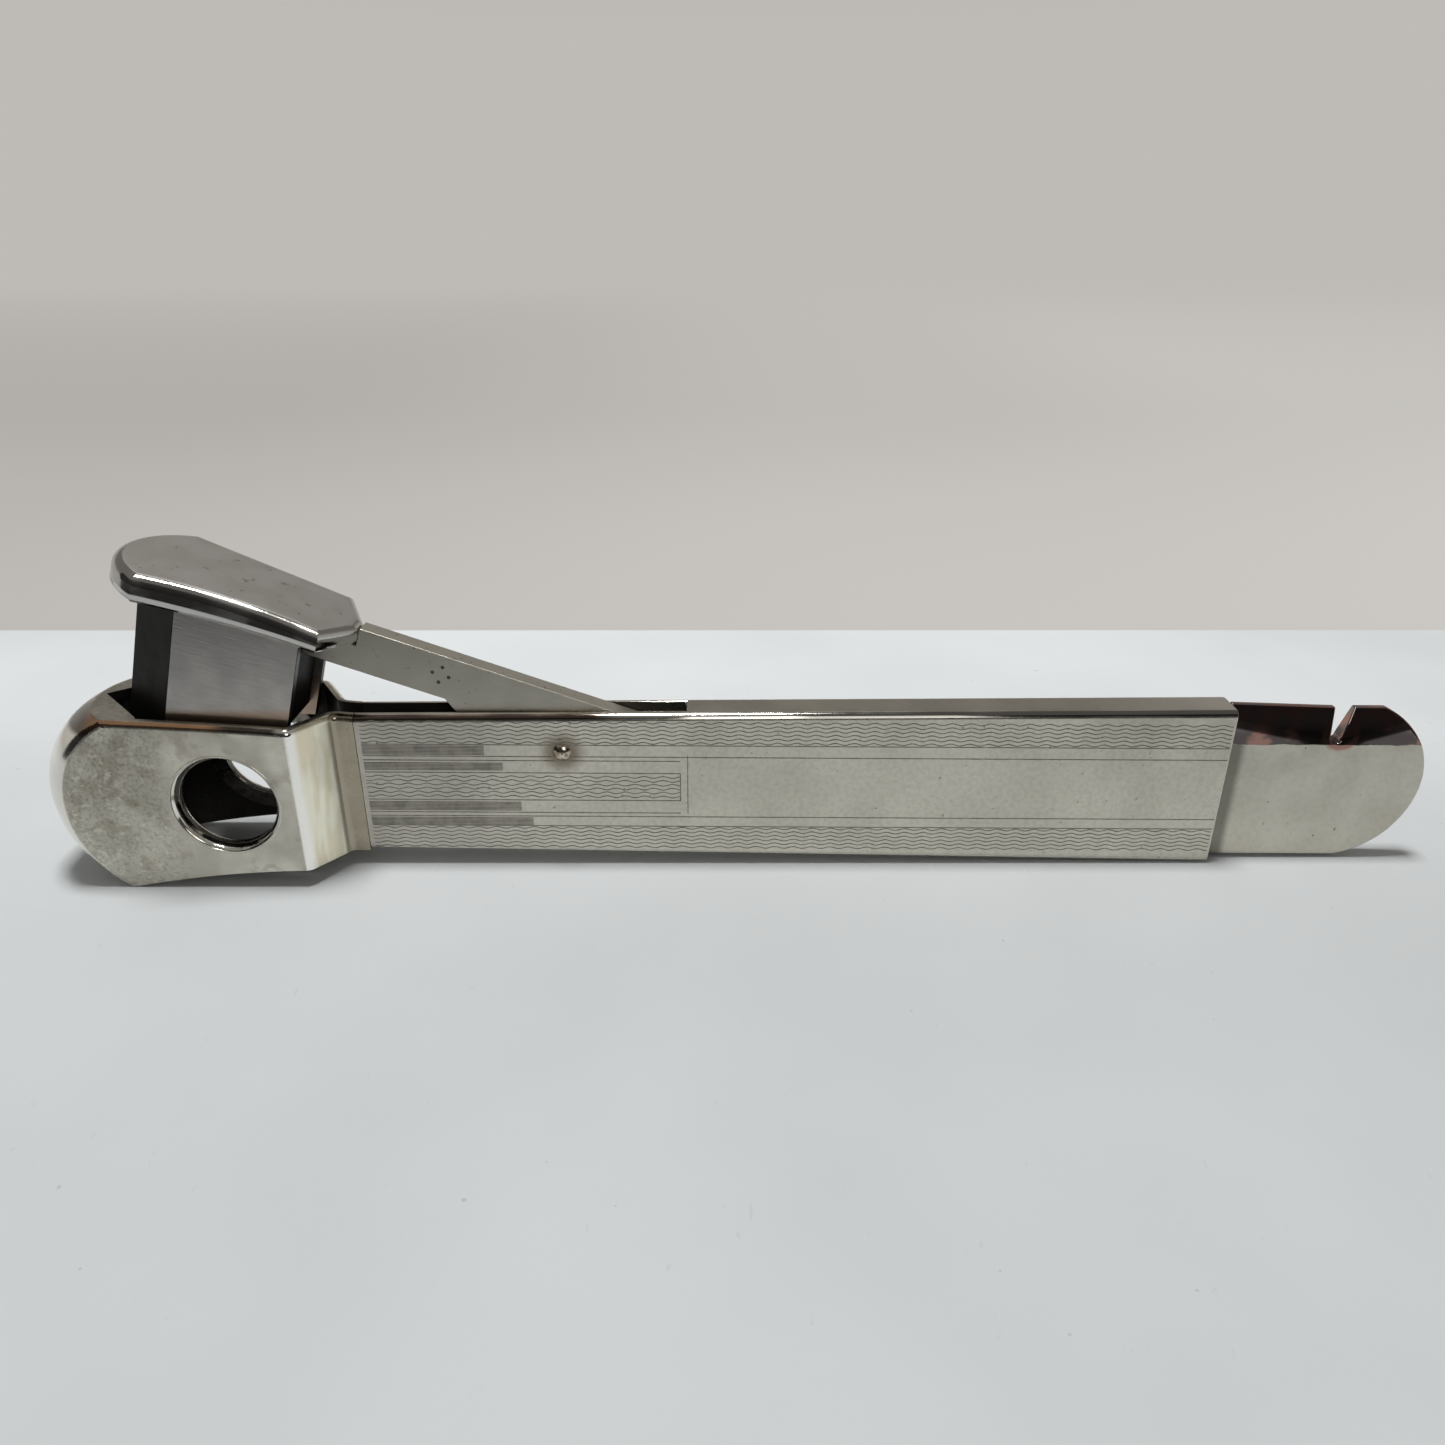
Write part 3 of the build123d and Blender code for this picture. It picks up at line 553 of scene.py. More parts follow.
class CUTTER_OT_head(bpy.types.Operator):
    """Finishes the head shell in mottled nickel silver with bright rounded edges"""

    bl_idname = "cutter.head"
    bl_label = "Head"
    bl_options = {"REGISTER", "UNDO"}

    def execute(self, context):
        metals = context.scene.cutter_metals
        finish = Finish("mottled_nickel_head")
        cloud = finish.noise(0.2, 5.0)
        grain = finish.noise(3.2, 6.0, shift=11.0)
        edge = finish.edges(0.985, 0.88)
        flat = 1.0 - edge
        colour = finish.mix(finish.rise(cloud, 0.38, 0.62), tuple(metals.nickel), tuple(metals.dull))
        worn = finish.band(finish.x, *WORN_MM, 5.0) * flat
        shade = finish.rise(finish.noise(0.11, 3.0, shift=5.0), 0.5, 0.62) * flat
        colour = finish.mix(shade * 0.35, colour, HEAD_SHADE)
        colour = finish.mix(worn * 0.3, colour, HEAD_WORN)
        freckle = finish.rise(grain, 0.42, 0.72) * worn
        colour = finish.mix(freckle * 0.4, colour, HEAD_FRECKLE)
        brown = finish.rise(finish.noise(0.45, 4.0, shift=71.0), 0.52, 0.66) * flat
        colour = finish.mix(brown * 0.3, colour, tuple(metals.tarnish))
        pale = finish.rise(finish.noise(1.3, 5.0, shift=31.0), 0.56, 0.7) * worn
        colour = finish.mix(pale * 0.6, colour, HEAD_PALE)
        # The ramp's pale colour is a painted reflection of the bright table; the darker streaks are
        # marks in the metal.
        ramp = finish.band(finish.x, *RAMP_MM, 0.15) * finish.rise(finish.facing[0], 0.2, 0.35)
        streak = finish.noise(0.9, 3.0, (1.0, 1.0, 7.0), 0.12, 9.0)
        streaked = finish.mix(finish.rise(streak, 0.4, 0.62), RAMP_LIGHT, RAMP_DARK)
        colour = finish.mix(ramp * 0.85, colour, streaked)
        # Painted highlight along the convex bend at the ramp's left edge.
        bend_highlight = finish.band(finish.x, *BEND_MM, 0.5) * finish.rise(finish.facing[0], 0.1, 0.3)
        colour = finish.mix(bend_highlight, colour, BEND_HIGHLIGHT)
        # Painted shade on the collar beside the ramp.
        collar = finish.rise(finish.x, *COLLAR_MM)
        colour = finish.mix(collar * 0.85, colour, COLLAR_PAINTED_SHADE)
        colour = finish.mix(edge * (1.0 - ramp) * (1.0 - collar) * 0.7, colour, tuple(metals.polished))
        # Painted reflection along the head's top rim: a dark band, orange along its middle span.
        rim = finish.band(finish.x, *RIM_MM, 1.0) * edge * finish.rise(finish.z, *RIM_RISE_MM)
        rim = rim * finish.rise(finish.facing[2], 0.1, 0.3)
        glow = finish.band(finish.x, *ORANGE_REFLECTION_MM, 3.0)
        colour = finish.mix(rim * 0.9, colour, RIM_DARK_REFLECTION)
        colour = finish.mix(rim * glow * 0.85, colour, RIM_ORANGE_REFLECTION)
        scratch = (finish.scratches(-1.15, 3.0) + finish.scratches(0.5, 17.0)) * flat
        colour = finish.mix(scratch * 0.25, colour, tuple(metals.polished))
        # Painted shade: faces that look into the head are painted near black.
        hollow = finish.hollow(-44.0)
        colour = finish.mix(hollow * 0.9, colour, tuple(metals.dark))
        rough = 0.24 + 0.14 * finish.rise(cloud, 0.3, 0.7) + 0.12 * freckle - 0.16 * edge
        rough = rough + 0.25 * hollow
        height = (grain * 0.3 + scratch * 0.5) * flat
        material = finish.surface(colour, rough, 1.0, height, 0.012)
        paint_node("head_shell", material)
        self.lips(metals)
        return {"FINISHED"}

    def lips(self, metals):
        """The burnished round mouths of the cigar bore, one on each flank."""
        finish = Finish("burnished_bore_lip")
        blotches = finish.noise(0.8, 3.0, shift=4.0)
        colour = finish.mix(finish.rise(blotches, 0.5, 0.75), tuple(metals.polished), LIP_STAIN)
        material = finish.surface(colour, 0.1 + 0.1 * blotches, 1.0, blotches, 0.004)
        lean = Vector((math.cos(STANCE), 0.0, -math.sin(STANCE)))
        axis = HANDLE_ORIGIN + lean * BORE_X_MM * MM
        for flank, name in ((-1, "near_bore_lip"), (1, "far_bore_lip")):
            shell = bmesh.new()
            loops = []
            for step in range(LIP_STEPS):
                turn = math.tau * step / LIP_STEPS
                loops.append([
                    shell.verts.new(axis + Vector((
                        radius * math.cos(turn),
                        flank * (FLANK_MM - depth),
                        radius * math.sin(turn),
                    )) * MM)
                    for radius, depth in LIP_MM
                ])
            for here, there in zip(loops, loops[1:] + loops[:1]):
                for k in range(len(LIP_MM)):
                    face = (here[k], there[k], there[k - 1], here[k - 1])
                    shell.faces.new(face).smooth = True
            bmesh.ops.recalc_face_normals(shell, faces=shell.faces)
            mesh = bpy.data.meshes.new(name)
            shell.to_mesh(mesh)
            shell.free()
            placed(mesh, name, material, "handle")


class CUTTER_OT_bores(bpy.types.Operator):
    """Finishes the cutting rings and the notch bore's collar in polished steel"""

    bl_idname = "cutter.bores"
    bl_label = "Cutting rings"
    bl_options = {"REGISTER", "UNDO"}

    def execute(self, context):
        finish = Finish("polished_bore_steel")
        blotches = finish.noise(0.9, 4.0)
        # The rings' steel is painted dark: painted shade within the bores.
        colour = finish.mix(finish.rise(blotches, 0.45, 0.7), BORE_LIGHT, BORE_DARK)
        rough = 0.22 + 0.25 * finish.rise(blotches, 0.4, 0.7)
        material = finish.surface(colour, rough, 1.0, finish.noise(7.0, 2.0), 0.006)
        for name in ("near_cutting_ring", "far_cutting_ring", "nose_collar"):
            paint_node(name, material)
        return {"FINISHED"}


# ---------------------------------------------------------------------- handle
SLEEVE_WORKED = (0.38, 0.36, 0.34, 1.0)
SLEEVE_TOP = (0.46, 0.42, 0.355, 1.0)
SLEEVE_TOP_END = (0.75, 0.72, 0.64, 1.0)
EDGE_BROWN_REFLECTION = (0.09, 0.05, 0.035, 1.0)
EDGE_GREY_REFLECTION = (0.13, 0.125, 0.12, 1.0)

# Where each tone sets in along x, the rivet's height, and its halo's radii.
WORKED_MM = (4.0, -12.0)
TOP_END_MM = (60.0, 72.0)
BROWN_MM = (7.0, 3.0)
GREY_MM = (24.0, 27.0)
RIVET_Z_MM = 4.12
HALO_MM = (3.0, 0.9)


class CUTTER_OT_sleeve(bpy.types.Operator):
    """Finishes the engraved sleeve in satin nickel silver with bright long edges"""

    bl_idname = "cutter.sleeve"
    bl_label = "Sleeve"
    bl_options = {"REGISTER", "UNDO"}

    def execute(self, context):
        metals = context.scene.cutter_metals
        finish = Finish("engraved_nickel_sleeve")
        cloud = finish.noise(0.14, 3.0, shift=3.0)
        grain = finish.noise(1.8, 5.0, shift=19.0)
        brushed = finish.noise(3.0, 3.0, (9.0, 1.0, 0.6), 0.0, 2.0)
        edge = finish.edges(0.985, 0.9)
        flat = 1.0 - edge
        tint = 0.3 * finish.rise(cloud, 0.35, 0.65) + 0.7 * finish.rise(grain, 0.35, 0.7)
        colour = finish.mix(tint, tuple(metals.nickel), tuple(metals.dull))
        worked = finish.rise(finish.x + 6.0 * finish.noise(0.3, 2.0), *WORKED_MM)
        colour = finish.mix(worked * flat * 0.35, colour, SLEEVE_WORKED)
        freckle = finish.rise(finish.noise(1.3, 2.0, shift=23.0), 0.7, 0.75) * flat
        colour = finish.mix(freckle * 0.6, colour, tuple(metals.tarnish))
        above = finish.z - RIVET_Z_MM
        away = (finish.x * finish.x + above * above).math("SQRT")
        halo = finish.rise(away, *HALO_MM) * flat
        colour = finish.mix(halo * 0.75, colour, tuple(metals.tarnish))
        top = finish.rise(finish.facing[2], 0.9, 0.99)
        colour = finish.mix(top * 0.6, colour, SLEEVE_TOP)
        colour = finish.mix(top * finish.rise(finish.x, *TOP_END_MM) * 0.7, colour, SLEEVE_TOP_END)
        colour = finish.mix(edge * 0.8, colour, tuple(metals.polished))
        # Painted dark reflection on the upper edges, left and right of the lamp's highlight.
        edge_dark_reflection = edge * finish.rise(finish.facing[2], 0.0, 0.2)
        colour = finish.mix(edge_dark_reflection * finish.rise(finish.x, *BROWN_MM) * 0.92, colour, EDGE_BROWN_REFLECTION)
        colour = finish.mix(edge_dark_reflection * finish.rise(finish.x, *GREY_MM) * 0.8, colour, EDGE_GREY_REFLECTION)
        # Painted shade: faces that look into the sleeve are painted near black.
        hollow = finish.hollow()
        colour = finish.mix(hollow * 0.9, colour, tuple(metals.dark))
        rough = 0.25 + 0.1 * finish.rise(cloud, 0.3, 0.7) + 0.08 * worked + 0.2 * halo - 0.2 * edge
        rough = rough + 0.25 * hollow
        height = brushed * 0.5 + grain * 0.4 + freckle * -0.6
        material = finish.surface(colour, rough, 1.0, height * flat, 0.01)
        softened("handle_sleeve", 0.0001, material, "handle")
        return {"FINISHED"}


WAVE_SAMPLES = 14
HATCH_PITCH = 0.000165
BAND_START_MM = -21.5
PANEL_X_MM = 12.7
PANEL_LINE_MM = 0.1

# Right end, lowest line, number of lines and pattern of each band, in millimetres.
BANDS = (
    (71.7, 5.25, 6, "wave"),
    (71.7, -7.6, 6, "wave"),
    (12.65, -1.26, 6, "gentle"),
    (71.8, 3.59, 1, "hatch"),
    (71.8, -3.74, 1, "hatch"),
    (71.8, 4.98, 1, "hatch"),
    (71.8, -4.95, 1, "hatch"),
    (PANEL_X_MM, 3.1, 1, "hatch"),
    (PANEL_X_MM, -3.27, 1, "hatch"),
    (PANEL_X_MM, 1.62, 1, "hatch"),
    (PANEL_X_MM, -1.72, 1, "hatch"),
    (-8.4, 3.8, 7, "hatch"),
    (-6.5, 1.95, 6, "hatch"),
    (-4.8, -3.0, 7, "hatch"),
    (-3.6, -4.8, 6, "hatch"),
)

# Middle, lower end and upper end of each upright line, in millimetres.
UPRIGHTS = ((PANEL_X_MM, -1.72, 1.62), (13.5, -3.27, 3.8))


class CUTTER_OT_engraving(bpy.types.Operator):
    """Cuts the wave bands and panel lines on both faces of the sleeve"""

    bl_idname = "cutter.engraving"
    bl_label = "Engraving"
    bl_options = {"REGISTER", "UNDO"}

    def tree(self):
        """Rows of thin ribbons that follow a sine wave, turned onto a face."""
        inputs = [
            ("Start", "Float"),
            ("Length", "Float"),
            ("Lowest", "Float"),
            ("Lines", "Int"),
            ("Pitch", "Float"),
            ("Samples", "Int"),
            ("Wavelength", "Float"),
            ("Swing", "Float"),
            ("Opposed", "Float"),
            ("Width", "Float"),
            ("Turn", "Vector"),
            ("Place", "Vector"),
            ("Material", "Material"),
        ]
        tree, graph, given = new_tree("engraved_band", inputs)
        strip = {
            "Size X": given["Length"],
            "Size Y": given["Width"],
            "Vertices X": given["Samples"],
            "Vertices Y": 2,
        }
        strip = graph.node("GeometryNodeMeshGrid", (), strip)
        middle = graph.node("ShaderNodeCombineXYZ", (), {"X": given["Start"] + given["Length"] * 0.5})
        strip = graph.node("GeometryNodeTransform", (), {"Geometry": strip, "Translation": middle})
        rows = {
            "Count": given["Lines"],
            "Start Location": graph.node("ShaderNodeCombineXYZ", (), {"Y": given["Lowest"]}),
            "Offset": graph.node("ShaderNodeCombineXYZ", (), {"Y": given["Pitch"]}),
        }
        rows = graph.node("GeometryNodeMeshLine", {"mode": "OFFSET"}, rows)
        band = graph.node("GeometryNodeInstanceOnPoints", (), {"Points": rows, "Instance": strip})
        band = graph.node("GeometryNodeRealizeInstances", (), {"Geometry": band})
        spot = graph.node("GeometryNodeInputPosition")
        across, up = [graph.node("ShaderNodeSeparateXYZ", (), {0: spot}, axis) for axis in (0, 1)]
        row = ((up - given["Lowest"]) / given["Pitch"]).math("ROUND")
        pair = (row / 2.0).math("FLOOR") * given["Opposed"] * math.pi
        turn = across / given["Wavelength"] * math.tau + pair
        shift = graph.node("ShaderNodeCombineXYZ", (), {"Y": turn.math("SINE") * given["Swing"]})
        band = graph.node("GeometryNodeSetPosition", (), {"Geometry": band, "Offset": shift})
        place = {"Geometry": band, "Translation": given["Place"], "Rotation": given["Turn"]}
        end_tree(graph, given, graph.node("GeometryNodeTransform", (), place))
        return tree

    def execute(self, context):
        metals = context.scene.cutter_metals
        engraving = context.scene.cutter_engraving
        finish = Finish("engraved_line")
        shade = finish.noise(0.8, 3.0)
        deep = [c * 0.6 for c in metals.groove[:3]] + [1.0]
        colour = finish.mix(finish.rise(shade, 0.35, 0.7), tuple(metals.groove), tuple(deep))
        material = finish.surface(colour, 0.45 + 0.2 * shade, 0.85, finish.noise(9.0, 1.0), 0.004)
        wave = {
            "Pitch": engraving.pitch,
            "Wavelength": engraving.wave,
            "Swing": engraving.swing,
            "Opposed": 0.0,
        }
        patterns = {
            "wave": wave,
            "gentle": {**wave, "Opposed": 1.0},
            "hatch": {**wave, "Swing": 0.0, "Pitch": HATCH_PITCH},
        }
        steps = []
        for flank in (-1.0, 1.0):
            shared = {
                "Width": engraving.width,
                "Turn": (-flank * math.pi / 2, STANCE, 0.0),
                "Place": HANDLE_ORIGIN + Vector((0.0, flank * (SLEEVE_FACE + engraving.lift), 0.0)),
                "Material": material,
            }
            for right, low, lines, name in BANDS:
                pattern = patterns[name]
                reach = (right - BAND_START_MM) * MM
                lowest = low * MM if flank < 0 else -low * MM - (lines - 1) * pattern["Pitch"]
                samples = int(reach / pattern["Wavelength"] * WAVE_SAMPLES) + 2
                steps.append({
                    **shared,
                    **pattern,
                    "Start": BAND_START_MM * MM,
                    "Length": reach,
                    "Lowest": lowest,
                    "Lines": lines,
                    "Samples": samples if pattern["Swing"] else 2,
                })
            for x, low, high in UPRIGHTS:
                steps.append({
                    **shared,
                    **patterns["hatch"],
                    "Width": (high - low) * MM,
                    "Start": (x - PANEL_LINE_MM / 2) * MM,
                    "Length": PANEL_LINE_MM * MM,
                    "Lowest": (low + high) / 2 * MM * -flank,
                    "Lines": 1,
                    "Samples": 2,
                })
        mesh = grown(self.tree(), steps)
        placed(mesh, "sleeve_engraving", material, "handle")
        return {"FINISHED"}


OPENER_DULL = (0.56, 0.53, 0.45, 1.0)
BEVEL_DARK_REFLECTION = (0.3, 0.24, 0.24, 1.0)
BEVEL_FOOT = (0.07, 0.06, 0.06, 1.0)
BEVEL_BROWN_REFLECTION = (0.5, 0.27, 0.22, 1.0)
SEAM_SHADE = (0.13, 0.125, 0.105, 1.0)
BRASS_DARK = (0.33, 0.21, 0.1, 1.0)

# The notch's middle in x and z, the rim around it, the bevel's lower edge, where the
# bevel darkens, and the shade beside the sleeve's end.
NOTCH_MM = (84.3, 6.2)
NOTCH_RIM_MM = (1.95, 1.8)
BEVEL_MM = (4.85, 4.95)
BEVEL_FOOT_MM = (7.6, 5.9)
SEAM_MM = (74.5, 73.4)


class CUTTER_OT_opener(bpy.types.Operator):
    """Finishes the box opener's plate and the shims that pack its tang"""

    bl_idname = "cutter.opener"
    bl_label = "Box opener"
    bl_options = {"REGISTER", "UNDO"}

    def execute(self, context):
        metals = context.scene.cutter_metals
        finish = Finish("plated_opener_steel")
        cloud = finish.noise(0.2, 4.0, shift=7.0)
        brushed = finish.noise(3.0, 3.0, (1.0, 1.0, 8.0), 0.15, 2.0)
        across = finish.x - NOTCH_MM[0]
        above = finish.z - NOTCH_MM[1]
        away = (across * across + above * above).math("SQRT")
        ripple = 0.5 * finish.noise(0.5, 2.0, shift=81.0) - 0.25
        bevel = finish.rise(finish.z + ripple, *BEVEL_MM)
        bevel = bevel.math("MAXIMUM", finish.rise(away + ripple, *NOTCH_RIM_MM))
        flat = 1.0 - bevel
        grain = finish.noise(1.6, 5.0, shift=61.0)
        tint = 0.5 * finish.rise(cloud, 0.35, 0.65) + 0.5 * finish.rise(grain, 0.35, 0.7)
        colour = finish.mix(tint, tuple(metals.nickel), OPENER_DULL)
        tint_patches = finish.rise(finish.noise(0.5, 2.0, (1.4, 1.0, 1.0), 0.0, 4.0), 0.5, 0.62) * bevel
        # Painted dark reflection over the bevel, darkest along its foot.
        colour = finish.mix(bevel * 0.85, colour, BEVEL_DARK_REFLECTION)
        low = finish.rise(finish.z, *BEVEL_FOOT_MM) * bevel
        colour = finish.mix(low * 0.8, colour, BEVEL_FOOT)
        # Painted brown reflection: patches on the bevel and a ring round the notch.
        tint_patches = tint_patches.math("MAXIMUM", finish.band(away + ripple, 1.5, NOTCH_RIM_MM[0], 0.25))
        colour = finish.mix(tint_patches * 0.65, colour, BEVEL_BROWN_REFLECTION)
        freckle = finish.rise(finish.noise(1.2, 2.0, shift=51.0), 0.7, 0.76) * flat
        colour = finish.mix(freckle * 0.7, colour, tuple(metals.tarnish))
        seam = finish.rise(finish.x, *SEAM_MM) * flat
        colour = finish.mix(seam * 0.75, colour, SEAM_SHADE)
        rough = 0.25 * flat + 0.07 + 0.08 * finish.rise(cloud, 0.3, 0.7) * flat
        material = finish.surface(colour, rough, 1.0, brushed * flat, 0.007)
        softened("opener_blade", 0.00012, material, "handle")
        shim = Finish("rolled_brass")
        blotches = shim.noise(0.8, 4.0)
        colour = shim.mix(shim.rise(blotches, 0.4, 0.7), tuple(metals.brass), BRASS_DARK)
        rolled = shim.noise(5.0, 2.0, (8.0, 1.0, 1.0))
        material = shim.surface(colour, 0.3 + 0.25 * blotches, 1.0, rolled, 0.008)
        for name in ("near_tang_shim", "far_tang_shim", "near_pivot_washer", "far_pivot_washer"):
            paint_node(name, material)
        return {"FINISHED"}


RIVET_LIGHT = (0.62, 0.58, 0.5, 1.0)
RIVET_BROWN_REFLECTION = (0.3, 0.24, 0.17, 1.0)


class CUTTER_OT_rivets(bpy.types.Operator):
    """Finishes the domed pivot rivet and the blade rivets in polished steel"""

    bl_idname = "cutter.rivets"
    bl_label = "Rivets"
    bl_options = {"REGISTER", "UNDO"}

    def execute(self, context):
        finish = Finish("polished_rivet_steel")
        blotches = finish.noise(1.6, 3.0)
        # Painted dark brown reflection: the steel tone is darkened and mixed with brown patches.
        colour = finish.mix(finish.rise(blotches, 0.4, 0.6), RIVET_LIGHT, RIVET_BROWN_REFLECTION)
        material = finish.surface(colour, 0.12 + 0.12 * blotches, 1.0, finish.noise(6.0, 2.0), 0.006)
        paint_node("pivot_rivet", material)
        paint_node("blade_rivets", material)
        return {"FINISHED"}


SPRING_HEAT = (0.16, 0.1, 0.1, 1.0)
MACHINED = (0.14, 0.13, 0.12, 1.0)


class CUTTER_OT_spring(bpy.types.Operator):
    """Makes an edged copy of the leaf spring with its own mesh, and finishes it and its fixings"""

    bl_idname = "cutter.spring"
    bl_label = "Return spring"
    bl_options = {"REGISTER", "UNDO"}

    def execute(self, context):
        metals = context.scene.cutter_metals
        finish = Finish("blued_spring_steel")
        tint_patches = finish.noise(0.35, 2.0)
        colour = finish.mix(finish.rise(tint_patches, 0.35, 0.7), tuple(metals.blued), SPRING_HEAT)
        drawn = finish.noise(5.0, 2.0, (8.0, 1.0, 1.0))
        material = finish.surface(colour, 0.25 + 0.15 * drawn, 1.0, drawn, 0.006)
        leaf = softened("leaf_spring", 0.00006, material, "handle")
        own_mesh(leaf)
        seat = Finish("dark_machined_steel")
        mark = seat.noise(2.0, 3.0, (1.0, 4.0, 1.0))
        colour = seat.mix(mark, tuple(metals.dark), MACHINED)
        material = seat.surface(colour, 0.35 + 0.3 * mark, 1.0, mark, 0.02)
        for name in ("spring_seat", "stop_block", "spring_rivet"):
            paint_node(name, material)
        return {"FINISHED"}


# ----------------------------------------------------------------------- lever
ARM_DULL = (0.46, 0.44, 0.385, 1.0)
ARM_SIDE = (0.48, 0.46, 0.4, 1.0)
ARM_EDGE = (0.3, 0.28, 0.24, 1.0)
DOT_DARK = (0.07, 0.06, 0.05, 1.0)
DOT_LIGHT = (0.16, 0.14, 0.11, 1.0)

# The punch mark's middle in x and z of the lever's frame, its width and its dots' radius.
MARK_MM = (-14.6, 7.9)
MARK_WIDTH = 0.00125
DOT_RADIUS = 0.00021


class CUTTER_OT_arm(bpy.types.Operator):
    """Finishes the lever arm in satin nickel silver, with a plain four-dot punch mark"""

    bl_idname = "cutter.arm"
    bl_label = "Lever arm"
    bl_options = {"REGISTER", "UNDO"}

    def execute(self, context):
        metals = context.scene.cutter_metals
        finish = Finish("satin_nickel_arm", LEVER_FRAME)
        cloud = finish.noise(0.3, 4.0)
        brushed = finish.noise(3.5, 3.0, (7.0, 1.0, 0.8), 0.0, 5.0)
        edge = finish.edges(0.97, 0.85)
        flat = 1.0 - edge
        side = finish.rise(finish.facing[1].math("ABSOLUTE"), 0.9, 0.99)
        colour = finish.mix(finish.rise(cloud, 0.35, 0.65), tuple(metals.dull), ARM_DULL)
        colour = finish.mix(side * 0.6, colour, ARM_SIDE)
        freckle = finish.rise(finish.noise(1.5, 2.0, shift=3.0), 0.66, 0.74) * flat
        colour = finish.mix(freckle * 0.7, colour, tuple(metals.tarnish))
        colour = finish.mix(edge * 0.4, colour, ARM_EDGE)
        rough = 0.36 + 0.12 * cloud - 0.08 * edge
        material = finish.surface(colour, rough, 1.0, brushed * flat, 0.012)
        softened("lever_arm", 0.00006, material, "lever")
        self.punch()
        return {"FINISHED"}

    def punch(self):
        """The plain mark of four dots on the arm's near face."""
        inputs = [
            ("Across", "Float"),
            ("Dot", "Float"),
            ("Turn", "Vector"),
            ("Place", "Vector"),
            ("Material", "Material"),
        ]
        tree, graph, given = new_tree("punch_mark", inputs)
        square = {"Size X": given["Across"], "Size Y": given["Across"], "Vertices X": 2, "Vertices Y": 2}
        square = graph.node("GeometryNodeMeshGrid", (), square)
        dot = {"Vertices": 14, "Radius": given["Dot"]}
        dot = graph.node("GeometryNodeMeshCircle", {"fill_type": "NGON"}, dot)
        dots = graph.node("GeometryNodeInstanceOnPoints", (), {"Points": square, "Instance": dot})
        place = {"Geometry": dots, "Translation": given["Place"], "Rotation": given["Turn"]}
        end_tree(graph, given, graph.node("GeometryNodeTransform", (), place))
        finish = Finish("punched_dot", LEVER_FRAME)
        shade = finish.noise(4.0, 2.0)
        colour = finish.mix(shade, DOT_DARK, DOT_LIGHT)
        material = finish.surface(colour, 0.5 + 0.2 * shade, 0.8, shade, 0.02)
        x, z = MARK_MM
        cos, sin = math.cos(LEVER_TURN), math.sin(LEVER_TURN)
        spot = Vector((x * cos + z * sin, 0.0, z * cos - x * sin)) * MM
        step = {
            "Across": MARK_WIDTH,
            "Dot": DOT_RADIUS,
            "Turn": (math.pi / 2, LEVER_TURN + math.radians(45), 0.0),
            "Place": LEVER_ORIGIN + spot - Vector((0.0, ARM_FACE + LINE_LIFT, 0.0)),
            "Material": material,
        }
        placed(grown(tree, [step]), "arm_punch_mark", material, "lever")


PAD_LIGHT = (0.56, 0.545, 0.52, 1.0)
PAD_DULL = (0.5, 0.48, 0.45, 1.0)
PAD_SIDE = (0.5, 0.49, 0.47, 1.0)

# The height below which the pad's side curls under, and how strongly.
CURL_Z_MM = 9.05
CURL = 45.0


class CUTTER_OT_pad(bpy.types.Operator):
    """Finishes the thumb pad with a brushed top and a polished rim"""

    bl_idname = "cutter.pad"
    bl_label = "Thumb pad"
    bl_options = {"REGISTER", "UNDO"}

    def execute(self, context):
        metals = context.scene.cutter_metals
        finish = Finish("brushed_nickel_pad", LEVER_FRAME)
        cloud = finish.noise(0.25, 4.0, shift=2.0)
        brushed = finish.noise(4.0, 3.0, (8.0, 1.0, 1.0), 0.0, 6.0)
        top = finish.rise(finish.facing[2], 0.93, 0.985)
        colour = finish.mix(finish.rise(cloud, 0.35, 0.65), PAD_LIGHT, PAD_DULL)
        freckle = finish.rise(finish.noise(1.1, 2.0, shift=13.0), 0.66, 0.74) * top
        colour = finish.mix(freckle * 0.55, colour, tuple(metals.tarnish))
        colour = finish.mix(1.0 - top, colour, PAD_SIDE)
        wear = finish.rise(finish.noise(0.16, 2.0, shift=33.0), 0.4, 0.6)
        rough = 0.1 + 0.32 * top + 0.12 * wear * (1.0 - top)
        under = (CURL_Z_MM - finish.z).math("MAXIMUM", 0.0)
        side = finish.rise(finish.facing[2].math("ABSOLUTE"), 0.5, 0.1)
        height = brushed * top - under * under * side * CURL
        paint_node("thumb_pad", finish.surface(colour, rough, 1.0, height, 0.012))
        return {"FINISHED"}


GROUND_DULL = (0.5, 0.475, 0.455, 1.0)
GROUND_BRIGHT = (0.66, 0.63, 0.6, 1.0)
BLADE_WARM_REFLECTION = (0.56, 0.36, 0.22, 1.0)
DARK_WORN = (0.12, 0.115, 0.105, 1.0)
DARK_TINT = (0.2, 0.2, 0.2, 1.0)

# The slope of the blades' lower edge in the block's frame.
EDGE_SLOPE = 0.284


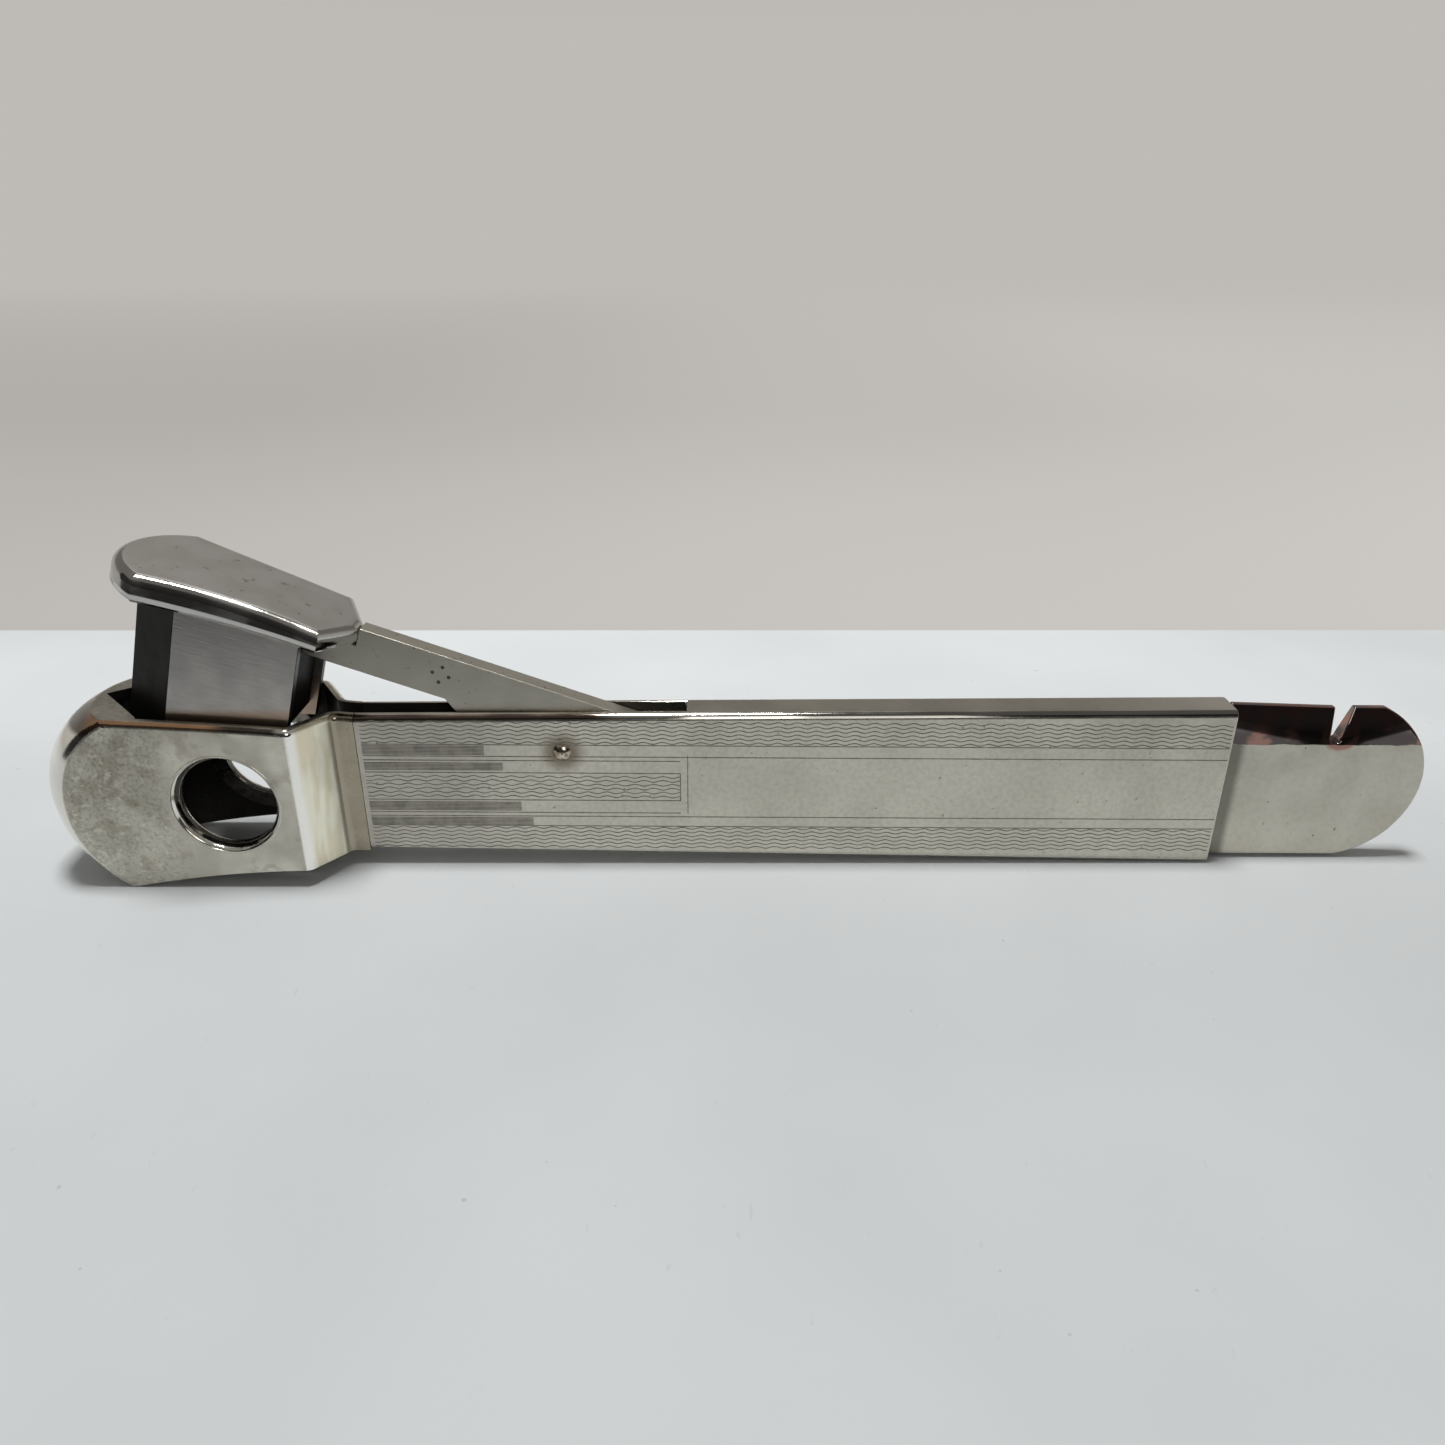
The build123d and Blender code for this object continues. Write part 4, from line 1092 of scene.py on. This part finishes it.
class CUTTER_OT_blades(bpy.types.Operator):
    """Finishes the ground flat blades, the notch blade and the core between them"""

    bl_idname = "cutter.blades"
    bl_label = "Blade block"
    bl_options = {"REGISTER", "UNDO"}

    def execute(self, context):
        metals = context.scene.cutter_metals
        finish = Finish("ground_blade_steel", BLOCK_FRAME)
        cloud = finish.noise(0.3, 4.0)
        ground = finish.noise(4.0, 3.0, (9.0, 1.0, 0.7), 0.0, 1.0)
        face = finish.rise(finish.facing[1].math("ABSOLUTE"), 0.9, 0.99)
        colour = finish.mix(finish.rise(cloud, 0.3, 0.7), tuple(metals.steel), GROUND_DULL)
        # Painted reflection: the broad faces are lighter towards the left.
        bright = finish.rise(finish.x, 2.0, -7.0) * face
        colour = finish.mix(bright * 0.6, colour, GROUND_BRIGHT)
        # Painted warm reflection along the blades' lower edge.
        warm_reflection = finish.rise(finish.z - EDGE_SLOPE * finish.x, 0.6, -0.4) * face
        colour = finish.mix(warm_reflection * 0.6, colour, BLADE_WARM_REFLECTION)
        colour = finish.mix(1.0 - face, colour, tuple(metals.dark))
        rough = 0.27 + 0.1 * cloud + 0.1 * ground
        material = finish.surface(colour, rough, 1.0, ground, 0.01)
        softened("near_blade", 0.00006, material, "lever")
        softened("far_blade", 0.00006, material, "lever")
        dark = Finish("dark_hardened_steel", BLOCK_FRAME)
        cloud = dark.noise(0.5, 4.0)
        ground = dark.noise(5.0, 2.0, (1.0, 1.0, 7.0))
        worn = dark.rise(ground, 0.55, 0.8)
        colour = dark.mix(worn * 0.2, tuple(metals.dark), DARK_WORN)
        rough = 0.32 + 0.2 * cloud
        dull = {"Specular IOR Level": 0.15, "Specular Tint": DARK_TINT}
        material = dark.surface(colour, rough, 0.5, ground, 0.01, **dull)
        softened("notch_blade", 0.00006, material, "lever")
        paint_node("blade_core", material)
        return {"FINISHED"}


# ----------------------------------------------------------------------- panel
class CUTTER_PT_panel(bpy.types.Panel):
    """Lists the finishing steps and their settings"""

    bl_idname = "CUTTER_PT_panel"
    bl_label = "Cigar cutter"
    bl_space_type = "VIEW_3D"
    bl_region_type = "UI"
    bl_category = "Cutter"

    def draw(self, context):
        column = self.layout.column()
        for step in STEPS:
            column.operator(step.bl_idname, text=step.bl_label)
        for name in GROUPS:
            group = getattr(context.scene, name)
            box = self.layout.box()
            for setting in group.bl_rna.properties.keys():
                if setting not in ("rna_type", "name"):
                    box.prop(group, setting)


GROUPS = {
    "cutter_metals": CutterMetals,
    "cutter_engraving": CutterEngraving,
    "cutter_stage": CutterStage,
}
STEPS = (
    CUTTER_OT_stage,
    CUTTER_OT_head,
    CUTTER_OT_bores,
    CUTTER_OT_sleeve,
    CUTTER_OT_engraving,
    CUTTER_OT_opener,
    CUTTER_OT_rivets,
    CUTTER_OT_spring,
    CUTTER_OT_arm,
    CUTTER_OT_pad,
    CUTTER_OT_blades,
)


def register():
    for name, group in GROUPS.items():
        bpy.utils.register_class(group)
        setattr(bpy.types.Scene, name, bpy.props.PointerProperty(type=group))
    for step in (*STEPS, CUTTER_PT_panel):
        bpy.utils.register_class(step)


def unregister():
    for step in (CUTTER_PT_panel, *reversed(STEPS)):
        bpy.utils.unregister_class(step)
    for name, group in GROUPS.items():
        delattr(bpy.types.Scene, name)
        bpy.utils.unregister_class(group)


def main():
    register()
    for step in STEPS:
        family, action = step.bl_idname.split(".")
        getattr(getattr(bpy.ops, family), action)()


if __name__ == "__main__":
    main()
